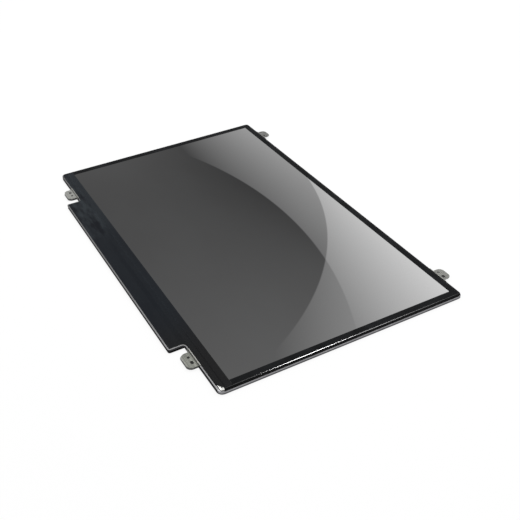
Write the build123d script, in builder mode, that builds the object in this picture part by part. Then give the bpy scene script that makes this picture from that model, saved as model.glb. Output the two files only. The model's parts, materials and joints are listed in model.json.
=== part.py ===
from build123d import *

import os

# Slim 14-inch liquid crystal display module for a notebook computer, lying on its back.
# X runs to the right of the picture, Y to its top and Z out of the screen. The origin is the middle
# of the active area, on the flat back of the metal tray. All sizes are in millimetres.

# Active area, which shows the picture
ACTIVE_WIDTH = 309.4
ACTIVE_HEIGHT = 173.95

# Liquid crystal cell, measured outward from the active area
CELL_SIDE_BORDER = 4.9
CELL_TOP_BORDER = 4.2
CELL_BOTTOM_BORDER = 4.6
BONDING_LEDGE = 3.4
GLASS_THICKNESS = 0.4
POLARIZER_THICKNESS = 0.15
POLARIZER_INSET = 0.6
CELL_TAPE_THICKNESS = 0.1

# Moulded support frame
GLASS_CLEARANCE = 0.3
RIM_WALL = 1.35
RIM_RIB = 0.45
RIM_BELOW_SCREEN = 0.3
LEDGE_THICKNESS = 0.4
LEDGE_OVERLAP = 1.5
FRAME_CLEARANCE = 0.2
SNAP_COUNT = 4
SNAP_SPACING = 70.0
SNAP_LENGTH = 8.0
SNAP_HEIGHT = 0.7
SNAP_BOTTOM = 1.05
SNAP_ENGAGEMENT = 0.2
SNAP_CLEARANCE = 0.25

# Optical sheets
REFLECTOR_THICKNESS = 0.15
LIGHT_GUIDE_THICKNESS = 0.6
DIFFUSER_THICKNESS = 0.15
PRISM_THICKNESS = 0.15
SHEET_HEADROOM = 0.1
GUIDE_MARGIN = 2.5
GUIDE_LAMP_MARGIN = 5.5
GUIDE_CLEARANCE = 0.4
GUIDE_EAR_LENGTH = 6.0
GUIDE_EAR_REACH = 1.6
GUIDE_EAR_SPACING = 120.0
SHEET_INSET = 0.2
SHEET_LAMP_INSET = 1.0
SHEET_EAR_LENGTH = 10.0
SHEET_EAR_REACH = 1.0
SHEET_EAR_SPACING = 200.0

# Lamp strip along the bottom edge of the light guide
LED_COUNT = 36
LED_LENGTH = 3.0
LED_DEPTH = 1.0
LED_HEIGHT = 0.6
LED_WINDOW_LENGTH = 2.3
LED_WINDOW_HEIGHT = 0.36
LED_WINDOW_DEPTH = 0.25
LED_GAP = 0.1
LED_POCKET_CLEARANCE = 0.6
LED_TAPE_THICKNESS = 0.12
LED_STRIP_THICKNESS = 0.12
LED_STRIP_SETBACK = 0.4
LED_STRIP_HEADROOM = 0.05
LED_TAIL_WIDTH = 8.0
LED_TAIL_BEND_RADIUS = 0.3
LED_TAIL_CLEARANCE = 0.3

# Metal tray with a raised shelf for the control board
TRAY_SHEET = 0.3
TRAY_BEND_RADIUS = 0.5
TRAY_LOWER_CORNER_RADIUS = 3.5
TRAY_UPPER_CORNER_RADIUS = 3.0
WALL_BELOW_SCREEN = 0.7
SIDE_WALL_BELOW_SCREEN = 1.25
LIP_WIDTH = 1.2
LIP_CLEARANCE = 0.1
SHELF_INSET = 52.95
SHELF_DEPTH = 11.6
SHELF_RISE = 1.1
SHELF_CORNER_RADIUS = 1.6
NOTCH_RADIUS = 2.0
BEAD_HEIGHT = 0.15
BEAD_WIDTH = 5.0
BEAD_SIDE_INSET = 26.7
BEAD_END_INSET = 20.975
BEAD_CORNER_RADIUS = 14.0

# Mounting brackets
BRACKET_SHEET = 0.4
BRACKET_BEND_RADIUS = 0.3
BRACKET_LEG_LENGTH = 18.8
BRACKET_LEG_SHIFT = 0.8
BRACKET_TAB_CORNER_RADIUS = 4.0
BRACKET_TAB_DROP = 0.3
BRACKET_LEG_BOTTOM = 0.6
BRACKET_HOOK_REACH = 0.8
LOWER_BRACKET_OFFSET = 15.5
LOWER_TAB_LENGTH = 15.4
LOWER_TAB_REACH = 7.4
LOWER_HOLE_OFFSET = 2.5
UPPER_BRACKET_INSET = 27.05
UPPER_TAB_LENGTH = 12.8
UPPER_TAB_REACH = 7.45
UPPER_HOLE_OFFSET = 2.2
HOLE_SPACING = 5.6
HOLE_DIAMETER = 2.0
SLOT_WIDTH = 2.2
SLOT_LENGTH = 3.2

# Driver films, which carry the picture signals from the board to the glass
SOURCE_FILM_COUNT = 4
SOURCE_FILM_WIDTH = 36.0
SOURCE_FILM_THICKNESS = 0.08
SOURCE_FILM_BOND = 2.4
SOURCE_FILM_STRAIGHT = 0.3
SOURCE_FILM_SLOPE = 3.2
SOURCE_FILM_BEND_RADIUS = 0.4
SOURCE_FILM_CLEARANCE = 0.6
SOURCE_CHIP_LENGTH = 17.0
SOURCE_CHIP_WIDTH = 1.4
SOURCE_CHIP_HEIGHT = 0.35
SOURCE_CHIP_SETBACK = 0.5

# Control board and the parts on it, whose places and rows are shares of half the board's width
BOARD_TAPE_THICKNESS = 0.08
BOARD_THICKNESS = 0.5
BOARD_CLEARANCE = 0.3
BOARD_INSET = 4.3
BOARD_BOND = 1.5
TIMING_CHIP_PLACE = 0.0
TIMING_CHIP_SIZE = 4.4
TIMING_CHIP_HEIGHT = 0.6
MEMORY_CHIP_PLACE = 0.065
MEMORY_CHIP_LENGTH = 3.0
MEMORY_CHIP_WIDTH = 2.0
MEMORY_CHIP_HEIGHT = 0.5
POWER_CHIP_PLACE = 0.35
POWER_CHIP_SIZE = 4.0
POWER_CHIP_HEIGHT = 0.55
LAMP_CHIP_PLACE = -0.555
LAMP_CHIP_SIZE = 3.0
LAMP_CHIP_HEIGHT = 0.5
INDUCTOR_PLACES = (0.415, 0.465, -0.5)
INDUCTOR_SIZE = 3.0
INDUCTOR_HEIGHT = 0.65
INDUCTOR_CORNER_RADIUS = 0.5
CAPACITOR_ROW_PLACE = 0.69
CAPACITOR_ROW_SHARE = 0.36
CAPACITOR_COUNT = 14
CAPACITOR_LENGTH = 1.6
CAPACITOR_WIDTH = 0.8
CAPACITOR_HEIGHT = 0.6
RESISTOR_ROW_PLACE = -0.25
RESISTOR_ROW_SHARE = 0.33
RESISTOR_COUNT = 16
RESISTOR_LENGTH = 1.0
RESISTOR_WIDTH = 0.5
RESISTOR_HEIGHT = 0.35

# Video socket on the underside of the board
SOCKET_END_OFFSET = 28.2
SOCKET_WIDTH = 26.0
SOCKET_DEPTH = 5.0
SOCKET_HEIGHT = 1.0
SOCKET_SETBACK = 1.0
SOCKET_SHELL_THICKNESS = 0.12
SOCKET_WINDOW_GAP = 0.6
MOUTH_HEIGHT = 0.4
MOUTH_DEPTH = 3.4
MOUTH_ROOF = 0.35
CONTACT_COUNT = 40
CONTACT_PITCH = 0.5
CONTACT_WIDTH = 0.2
CONTACT_THICKNESS = 0.1
CONTACT_FOOT = 0.6
CONTACT_RECESS = 0.5

# Black tapes and the foil on the front
TAPE_THICKNESS = 0.06
TAPE_SCREEN_MARGIN = 0.1
TAPE_STEP = 0.6
TAPE_GLASS_GAP = 0.1
TAPE_BEND_RADIUS = 0.25
TAPE_SEAM = 0.1
COVER_SLOPE = 3.2
COVER_LIP_OVERLAP = 0.25
CLIP_WIDTH = 6.9
CLIP_HEIGHT = 2.5
CLIP_KNEE_X = 4.85
CLIP_KNEE_Y = 0.8
CLIP_SHOULDER_X = 2.35
CLIP_SHOULDER_Y = 2.9

# Heights above the table, from the tray's sheet up through the stack
FLOOR_TOP = TRAY_SHEET
REFLECTOR_BOTTOM = FLOOR_TOP + BEAD_HEIGHT
GUIDE_BOTTOM = REFLECTOR_BOTTOM + REFLECTOR_THICKNESS
LOWER_DIFFUSER_BOTTOM = GUIDE_BOTTOM + LIGHT_GUIDE_THICKNESS
LOWER_PRISM_BOTTOM = LOWER_DIFFUSER_BOTTOM + DIFFUSER_THICKNESS
UPPER_PRISM_BOTTOM = LOWER_PRISM_BOTTOM + PRISM_THICKNESS
UPPER_DIFFUSER_BOTTOM = UPPER_PRISM_BOTTOM + PRISM_THICKNESS
LEDGE_BOTTOM = UPPER_DIFFUSER_BOTTOM + DIFFUSER_THICKNESS + SHEET_HEADROOM
LEDGE_TOP = LEDGE_BOTTOM + LEDGE_THICKNESS
REAR_POLARIZER_BOTTOM = LEDGE_TOP + CELL_TAPE_THICKNESS
ARRAY_GLASS_BOTTOM = REAR_POLARIZER_BOTTOM + POLARIZER_THICKNESS
ARRAY_GLASS_TOP = ARRAY_GLASS_BOTTOM + GLASS_THICKNESS
FILTER_GLASS_TOP = ARRAY_GLASS_TOP + GLASS_THICKNESS
SCREEN_TOP = FILTER_GLASS_TOP + POLARIZER_THICKNESS
RIM_TOP = SCREEN_TOP - RIM_BELOW_SCREEN
WALL_TOP = SCREEN_TOP - WALL_BELOW_SCREEN
SIDE_WALL_TOP = SCREEN_TOP - SIDE_WALL_BELOW_SCREEN
LIP_BOTTOM = WALL_TOP - TRAY_SHEET
HOOK_TOP = WALL_TOP + BRACKET_SHEET
TAB_TOP = WALL_TOP - BRACKET_TAB_DROP
TAB_BOTTOM = TAB_TOP - BRACKET_SHEET
LED_STRIP_BOTTOM = FLOOR_TOP + LED_TAPE_THICKNESS
LED_BOTTOM = LED_STRIP_BOTTOM + LED_STRIP_THICKNESS
SHELF_FLOOR_TOP = SHELF_RISE + TRAY_SHEET
BOARD_BOTTOM = SHELF_FLOOR_TOP + BOARD_TAPE_THICKNESS
BOARD_TOP = BOARD_BOTTOM + BOARD_THICKNESS
SOCKET_BOTTOM = BOARD_BOTTOM - SOCKET_HEIGHT
MOUTH_TOP = BOARD_BOTTOM - MOUTH_ROOF

# Plan of the cell, the frame and the tray
CELL_RIGHT = ACTIVE_WIDTH / 2 + CELL_SIDE_BORDER
CELL_UPPER = ACTIVE_HEIGHT / 2 + CELL_TOP_BORDER
FILTER_LOWER = -ACTIVE_HEIGHT / 2 - CELL_BOTTOM_BORDER
ARRAY_LOWER = FILTER_LOWER - BONDING_LEDGE
POCKET_RIGHT = CELL_RIGHT + GLASS_CLEARANCE
POCKET_UPPER = CELL_UPPER + GLASS_CLEARANCE
POCKET_LOWER = ARRAY_LOWER - GLASS_CLEARANCE
FRAME_RIGHT = POCKET_RIGHT + RIM_WALL
FRAME_UPPER = POCKET_UPPER + RIM_WALL
FRAME_LOWER = POCKET_LOWER - RIM_WALL
RIB_LOWER = POCKET_LOWER - RIM_RIB
OPENING_RIGHT = ACTIVE_WIDTH / 2 + LEDGE_OVERLAP
OPENING_UPPER = ACTIVE_HEIGHT / 2 + LEDGE_OVERLAP
TRAY_GAP = FRAME_CLEARANCE + TRAY_SHEET
TRAY_RIGHT = FRAME_RIGHT + TRAY_GAP
TRAY_UPPER = FRAME_UPPER + TRAY_GAP
TRAY_LOWER = FRAME_LOWER - TRAY_GAP
LIP_END = TRAY_LOWER + TRAY_LOWER_CORNER_RADIUS
SHELF_RIGHT = TRAY_RIGHT - SHELF_INSET
SHELF_LOWER = TRAY_LOWER - SHELF_DEPTH
LOWER_BRACKET_SPACING = 2 * (SHELF_RIGHT + LOWER_BRACKET_OFFSET)
UPPER_BRACKET_SPACING = 2 * (TRAY_RIGHT - UPPER_BRACKET_INSET)
BEAD_LOOP_WIDTH = ACTIVE_WIDTH - 2 * BEAD_SIDE_INSET
BEAD_LOOP_HEIGHT = ACTIVE_HEIGHT - 2 * BEAD_END_INSET
BEAD_BAR_SPACING = BEAD_LOOP_WIDTH / 2

# Plan of the light guide and the lamps
GUIDE_RIGHT = ACTIVE_WIDTH / 2 + GUIDE_MARGIN
GUIDE_UPPER = ACTIVE_HEIGHT / 2 + GUIDE_MARGIN
GUIDE_LOWER = -ACTIVE_HEIGHT / 2 - GUIDE_LAMP_MARGIN
SHEET_RIGHT = GUIDE_RIGHT - SHEET_INSET
SHEET_UPPER = GUIDE_UPPER - SHEET_INSET
SHEET_LOWER = GUIDE_LOWER + SHEET_LAMP_INSET
LED_FACE = GUIDE_LOWER - LED_GAP
LED_BACK = LED_FACE - LED_DEPTH
LED_POCKET_LOWER = LED_BACK - LED_POCKET_CLEARANCE
LED_STRIP_LOWER = FRAME_LOWER + LED_STRIP_SETBACK
LED_STRIP_RIGHT = ACTIVE_WIDTH / 2
LED_PITCH = ACTIVE_WIDTH / LED_COUNT

# Plan of the board shelf
BOARD_RIGHT = SHELF_RIGHT - TRAY_SHEET - BOARD_CLEARANCE
BOARD_LOWER = SHELF_LOWER + TRAY_SHEET + BOARD_CLEARANCE
BOARD_UPPER = TRAY_LOWER - BOARD_INSET
BOND_LOWER = BOARD_UPPER - BOARD_BOND
PARTS_ROW_Y = (BOND_LOWER + SHELF_LOWER + LIP_WIDTH) / 2
SOURCE_FILM_PITCH = 2 * BOARD_RIGHT / SOURCE_FILM_COUNT
SLOPE_START = ARRAY_LOWER - SOURCE_FILM_STRAIGHT
SLOPE_END = SLOPE_START - SOURCE_FILM_SLOPE
SOURCE_CHIP_Y = SLOPE_END - SOURCE_CHIP_SETBACK - SOURCE_CHIP_WIDTH / 2
LED_TAIL_X = -SOURCE_FILM_PITCH
CAPACITOR_PITCH = CAPACITOR_ROW_SHARE * BOARD_RIGHT / (CAPACITOR_COUNT - 1)
RESISTOR_PITCH = RESISTOR_ROW_SHARE * BOARD_RIGHT / (RESISTOR_COUNT - 1)
SOCKET_X = SOCKET_END_OFFSET - BOARD_RIGHT
SOCKET_FRONT = BOARD_LOWER + SOCKET_SETBACK
SOCKET_BACK = SOCKET_FRONT + SOCKET_DEPTH
SOCKET_WINDOW_RIGHT = SOCKET_WIDTH / 2 + SOCKET_SHELL_THICKNESS + SOCKET_WINDOW_GAP
MOUTH_WIDTH = (CONTACT_COUNT + 1) * CONTACT_PITCH

# Plan of the tapes
STEP_END = POCKET_RIGHT - GLASS_CLEARANCE + TAPE_GLASS_GAP
STEP_START = STEP_END + TAPE_STEP
SCREEN_RIGHT = ACTIVE_WIDTH / 2 + TAPE_SCREEN_MARGIN
SCREEN_UPPER = ACTIVE_HEIGHT / 2 + TAPE_SCREEN_MARGIN
COVER_STEP = FILTER_LOWER - TAPE_GLASS_GAP
COVER_FLAT = COVER_STEP - TAPE_STEP

os.makedirs("parts", exist_ok=True)


def span(left, right, lower, upper, mode=Mode.ADD):
    """Draw a rectangle between two x and two y values."""
    with Locations(((left + right) / 2, (lower + upper) / 2)):
        Rectangle(right - left, upper - lower, mode=mode)


def block(left, right, lower, upper, bottom, top, mode=Mode.ADD):
    """Make a box between two values on each axis."""
    with Locations(((left + right) / 2, (lower + upper) / 2, (bottom + top) / 2)):
        Box(right - left, upper - lower, top - bottom, mode=mode)


def rounded_plan(right, lower, upper, lower_radius, upper_radius):
    """Plan of a rectangle with one radius at its bottom corners and another at its top ones."""
    with BuildSketch() as plan:
        span(-right, right, lower, upper)
        fillet(plan.vertices().group_by(Axis.Y)[0], lower_radius)
        fillet(plan.vertices().group_by(Axis.Y)[-1], upper_radius)
    return plan.sketch


def frame_plan(inset):
    """Plan of the support frame's outer edge, drawn in by a distance."""
    lower_radius = TRAY_LOWER_CORNER_RADIUS - TRAY_GAP - inset
    upper_radius = TRAY_UPPER_CORNER_RADIUS - TRAY_GAP - inset
    right = FRAME_RIGHT - inset
    return rounded_plan(right, FRAME_LOWER + inset, FRAME_UPPER - inset, lower_radius, upper_radius)


def body_plan(inset):
    """Plan of the tray's deep body, drawn in by a distance."""
    lower_radius = TRAY_LOWER_CORNER_RADIUS - inset
    upper_radius = TRAY_UPPER_CORNER_RADIUS - inset
    right = TRAY_RIGHT - inset
    return rounded_plan(right, TRAY_LOWER + inset, TRAY_UPPER - inset, lower_radius, upper_radius)


def tray_plan(inset):
    """Plan of the whole tray with its board shelf and the rounded notches beside it."""
    with BuildSketch() as plan:
        add(body_plan(inset))
        span(-SHELF_RIGHT + inset, SHELF_RIGHT - inset, SHELF_LOWER + inset, 0)
        fillet(plan.vertices().group_by(Axis.Y)[0], SHELF_CORNER_RADIUS - inset)
        shelf_vertices = plan.vertices().filter_by_position(Axis.X, -SHELF_RIGHT, SHELF_RIGHT)
        fillet(shelf_vertices.group_by(Axis.Y)[-1], NOTCH_RADIUS + inset)
    return plan.sketch


def tray_form(inset):
    """Solid form of the tray, drawn in by a distance, with its bottom edges bent round."""
    bend = TRAY_BEND_RADIUS - inset
    with BuildPart() as form:
        with BuildSketch(Plane.XY.offset(SHELF_RISE + inset)):
            span(-SHELF_RIGHT + inset, SHELF_RIGHT - inset, SHELF_LOWER + inset, 0)
        extrude(amount=WALL_TOP - SHELF_RISE - inset)
        fillet(form.edges().filter_by(Axis.Z).group_by(Axis.Y)[0], SHELF_CORNER_RADIUS - inset)
        fillet(form.faces().sort_by(Axis.Z)[0].edges().sort_by(Axis.Y)[:-1], bend)
        with BuildSketch(Plane.XY.offset(inset)):
            add(body_plan(inset))
        extrude(amount=WALL_TOP - inset)
        fillet(form.faces().sort_by(Axis.Z)[0].edges(), bend)
        with BuildSketch(Plane.XY.offset(SHELF_RISE + TRAY_BEND_RADIUS)):
            add(tray_plan(inset))
        extrude(amount=WALL_TOP - SHELF_RISE - TRAY_BEND_RADIUS)
    return form.part


def bead_plan(inset):
    """Plan of the stiffening beads: a loop with two bars across it, drawn in by a distance."""
    width = BEAD_WIDTH - 2 * inset
    with BuildSketch() as plan:
        RectangleRounded(BEAD_LOOP_WIDTH, BEAD_LOOP_HEIGHT, BEAD_CORNER_RADIUS)
        offset(amount=-inset)
        with BuildSketch(mode=Mode.SUBTRACT):
            RectangleRounded(BEAD_LOOP_WIDTH, BEAD_LOOP_HEIGHT, BEAD_CORNER_RADIUS)
            offset(amount=inset - BEAD_WIDTH)
        with GridLocations(BEAD_BAR_SPACING, 0, 2, 1):
            Rectangle(width, BEAD_LOOP_HEIGHT - BEAD_WIDTH)
    return plan.sketch


# Rear tray: one stamping with a deep body, a raised board shelf, an inward lip along the bottom and
# lower walls on the other three sides
with BuildPart() as rear_tray:
    add(tray_form(0))
    add(tray_form(TRAY_SHEET), mode=Mode.SUBTRACT)
    with BuildSketch(Plane.XY.offset(LIP_BOTTOM)):
        add(tray_plan(0))
        add(tray_plan(LIP_WIDTH), mode=Mode.SUBTRACT)
        span(-TRAY_RIGHT, TRAY_RIGHT, SHELF_LOWER, LIP_END, mode=Mode.INTERSECT)
    extrude(amount=TRAY_SHEET)
    with BuildSketch(Plane.XY.offset(SIDE_WALL_TOP)):
        span(-TRAY_RIGHT, TRAY_RIGHT, LIP_END, TRAY_UPPER)
    extrude(amount=WALL_TOP - SIDE_WALL_TOP, mode=Mode.SUBTRACT)
    with BuildSketch(Plane.XY.offset(FLOOR_TOP)):
        add(bead_plan(0))
    extrude(amount=BEAD_HEIGHT)
    with BuildSketch():
        add(bead_plan(BEAD_HEIGHT))
    extrude(amount=BEAD_HEIGHT, mode=Mode.SUBTRACT)
    with BuildSketch(Plane.XZ.offset(-TRAY_UPPER)):
        with Locations((0, SNAP_BOTTOM + SNAP_HEIGHT / 2)):
            with GridLocations(SNAP_SPACING, 0, SNAP_COUNT, 1):
                Rectangle(SNAP_LENGTH + 2 * SNAP_CLEARANCE, SNAP_HEIGHT + 2 * SNAP_CLEARANCE)
    extrude(amount=TRAY_SHEET, mode=Mode.SUBTRACT)
    with BuildSketch(Plane.XY.offset(SHELF_RISE)):
        window_left = SOCKET_X - SOCKET_WINDOW_RIGHT
        window_right = SOCKET_X + SOCKET_WINDOW_RIGHT
        span(window_left, window_right, SOCKET_FRONT - SOCKET_WINDOW_GAP, SOCKET_BACK + CONTACT_FOOT)
    extrude(amount=TRAY_SHEET, mode=Mode.SUBTRACT)
rear_tray.part.label = "rear_tray"
export_step(rear_tray.part, "parts/rear_tray.step")


def bracket_profile(wall, edge, reach, hooked):
    """Section of a bracket across the wall that it is welded to; edge is the side that it points to."""
    tip = wall + edge * reach
    face = wall + edge * BRACKET_SHEET
    hook_end = wall - edge * BRACKET_HOOK_REACH
    tab = [(tip, TAB_BOTTOM), (tip, TAB_TOP)]
    hook = [(face, HOOK_TOP), (hook_end, HOOK_TOP), (hook_end, WALL_TOP), (wall, WALL_TOP)]
    raised_leg = [(face, TAB_TOP), *hook, (wall, TAB_BOTTOM)]
    hanging_leg = [(wall, TAB_TOP), (wall, BRACKET_LEG_BOTTOM), (face, BRACKET_LEG_BOTTOM), (face, TAB_BOTTOM)]
    with BuildSketch() as profile:
        with BuildLine():
            Polyline(*tab, *(raised_leg if hooked else hanging_leg), close=True)
        make_face()
        corners = profile.vertices().filter_by_position(Axis.X, *sorted((wall, face))).group_by(Axis.Y)
        bends = corners[:2] if hooked else corners[-2:]
        fillet(bends[0] + bends[1], BRACKET_BEND_RADIUS)
    return profile.sketch


def tab_plan(centre, wall, edge, length, reach):
    """Plan of a bracket's tab, rounded at its two outer corners."""
    half = length / 2
    with BuildSketch() as plan:
        span(centre - half, centre + half, *sorted((wall, wall + edge * reach)))
        tip_corners = plan.vertices().sort_by(Axis.Y)[:2] if edge < 0 else plan.vertices().sort_by(Axis.Y)[2:]
        fillet(tip_corners, BRACKET_TAB_CORNER_RADIUS)
    return plan.sketch


def bracket(side, centre, wall, edge, length, reach, hole_offset, hooked):
    """Mounting bracket: a leg welded to the tray's wall and a tab with a round hole and a slot."""
    leg_x = centre - side * BRACKET_LEG_SHIFT
    hole_y = wall + edge * (BRACKET_SHEET + hole_offset)
    relief = wall + edge * (BRACKET_SHEET + BRACKET_BEND_RADIUS)
    with BuildPart() as piece:
        with BuildSketch(Plane.YZ.offset(leg_x)):
            add(bracket_profile(wall, edge, reach, hooked))
        extrude(amount=BRACKET_LEG_LENGTH / 2, both=True)
        with BuildSketch():
            leg_half = BRACKET_LEG_LENGTH / 2
            span(leg_x - leg_half, leg_x + leg_half, *sorted((relief, wall + edge * reach)))
            add(tab_plan(centre, wall, edge, length, reach), mode=Mode.SUBTRACT)
        extrude(amount=WALL_TOP, mode=Mode.SUBTRACT)
        with BuildSketch():
            with Locations((centre - side * HOLE_SPACING / 2, hole_y)):
                Circle(HOLE_DIAMETER / 2)
            with Locations((centre + side * HOLE_SPACING / 2, hole_y)):
                SlotOverall(SLOT_LENGTH, SLOT_WIDTH)
        extrude(amount=WALL_TOP, mode=Mode.SUBTRACT)
    return piece.part


# Four brackets: the bottom two hook over the lip, and the legs of the top two hang down the wall
for side, hand in ((-1, "left"), (1, "right")):
    lower_x = side * LOWER_BRACKET_SPACING / 2
    upper_x = side * UPPER_BRACKET_SPACING / 2
    lower_tab = (LOWER_TAB_LENGTH, LOWER_TAB_REACH, LOWER_HOLE_OFFSET)
    upper_tab = (UPPER_TAB_LENGTH, UPPER_TAB_REACH, UPPER_HOLE_OFFSET)
    lower_bracket = bracket(side, lower_x, TRAY_LOWER, -1, *lower_tab, True)
    upper_bracket = bracket(side, upper_x, TRAY_UPPER, 1, *upper_tab, False)
    lower_bracket.label = f"bracket_lower_{hand}"
    upper_bracket.label = f"bracket_upper_{hand}"
    export_step(lower_bracket, f"parts/{lower_bracket.label}.step")
    export_step(upper_bracket, f"parts/{upper_bracket.label}.step")

# White reflector under the light guide, resting on the tray's beads
with BuildPart() as reflector_sheet:
    block(-GUIDE_RIGHT, GUIDE_RIGHT, GUIDE_LOWER, GUIDE_UPPER, REFLECTOR_BOTTOM, GUIDE_BOTTOM)
reflector_sheet.part.label = "reflector_sheet"
export_step(reflector_sheet.part, "parts/reflector_sheet.step")

# Light guide plate with two locating ears on each short side
with BuildPart() as light_guide:
    with BuildSketch(Plane.XY.offset(GUIDE_BOTTOM)):
        span(-GUIDE_RIGHT, GUIDE_RIGHT, GUIDE_LOWER, GUIDE_UPPER)
        with GridLocations(2 * GUIDE_RIGHT, GUIDE_EAR_SPACING, 2, 2):
            Rectangle(2 * GUIDE_EAR_REACH, GUIDE_EAR_LENGTH)
    extrude(amount=LIGHT_GUIDE_THICKNESS)
light_guide.part.label = "light_guide"
export_step(light_guide.part, "parts/light_guide.step")

# Four loose optical sheets, hung in the frame by two ears on their top edges
SHEET_STACK = (
    ("lower_diffuser", LOWER_DIFFUSER_BOTTOM, DIFFUSER_THICKNESS),
    ("lower_prism_sheet", LOWER_PRISM_BOTTOM, PRISM_THICKNESS),
    ("upper_prism_sheet", UPPER_PRISM_BOTTOM, PRISM_THICKNESS),
    ("upper_diffuser", UPPER_DIFFUSER_BOTTOM, DIFFUSER_THICKNESS),
)
for sheet_name, sheet_bottom, sheet_thickness in SHEET_STACK:
    with BuildPart() as optical_sheet:
        with BuildSketch(Plane.XY.offset(sheet_bottom)):
            span(-SHEET_RIGHT, SHEET_RIGHT, SHEET_LOWER, SHEET_UPPER)
            with Locations((0, SHEET_UPPER)):
                with GridLocations(SHEET_EAR_SPACING, 0, 2, 1):
                    Rectangle(SHEET_EAR_LENGTH, 2 * SHEET_EAR_REACH)
        extrude(amount=sheet_thickness)
    optical_sheet.part.label = sheet_name
    export_step(optical_sheet.part, f"parts/{sheet_name}.step")

# Double-sided tape that holds the lamp strip to the tray's floor
with BuildPart() as led_strip_tape:
    block(-LED_STRIP_RIGHT, LED_STRIP_RIGHT, LED_STRIP_LOWER, LED_FACE, FLOOR_TOP, LED_STRIP_BOTTOM)
led_strip_tape.part.label = "led_strip_tape"
export_step(led_strip_tape.part, "parts/led_strip_tape.step")

# Flexible lamp strip with a tail that climbs over the riser and lands on the board
with BuildPart() as led_strip:
    block(-LED_STRIP_RIGHT, LED_STRIP_RIGHT, LED_STRIP_LOWER, LED_FACE, LED_STRIP_BOTTOM, LED_BOTTOM)
    with BuildSketch(Plane.YZ.offset(LED_TAIL_X)):
        with BuildLine():
            FilletPolyline(
                (LED_FACE, LED_STRIP_BOTTOM),
                (LED_STRIP_LOWER, LED_STRIP_BOTTOM),
                (LED_STRIP_LOWER, BOARD_TOP),
                (BOND_LOWER, BOARD_TOP),
                radius=LED_TAIL_BEND_RADIUS,
            )
            offset(amount=LED_STRIP_THICKNESS, side=Side.RIGHT)
        make_face()
    extrude(amount=LED_TAIL_WIDTH / 2, both=True)
led_strip.part.label = "led_strip"
export_step(led_strip.part, "parts/led_strip.step")

# Row of side-view lamps, each with a shallow light window facing the guide
with BuildPart() as led_packages:
    with Locations((0, LED_FACE - LED_DEPTH / 2, LED_BOTTOM + LED_HEIGHT / 2)):
        with GridLocations(LED_PITCH, 0, LED_COUNT, 1):
            Box(LED_LENGTH, LED_DEPTH, LED_HEIGHT)
    with Locations((0, LED_FACE - LED_WINDOW_DEPTH / 2, LED_BOTTOM + LED_HEIGHT / 2)):
        with GridLocations(LED_PITCH, 0, LED_COUNT, 1):
            Box(LED_WINDOW_LENGTH, LED_WINDOW_DEPTH, LED_WINDOW_HEIGHT, mode=Mode.SUBTRACT)
led_packages.part.label = "led_packages"
export_step(led_packages.part, "parts/led_packages.step")

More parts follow.
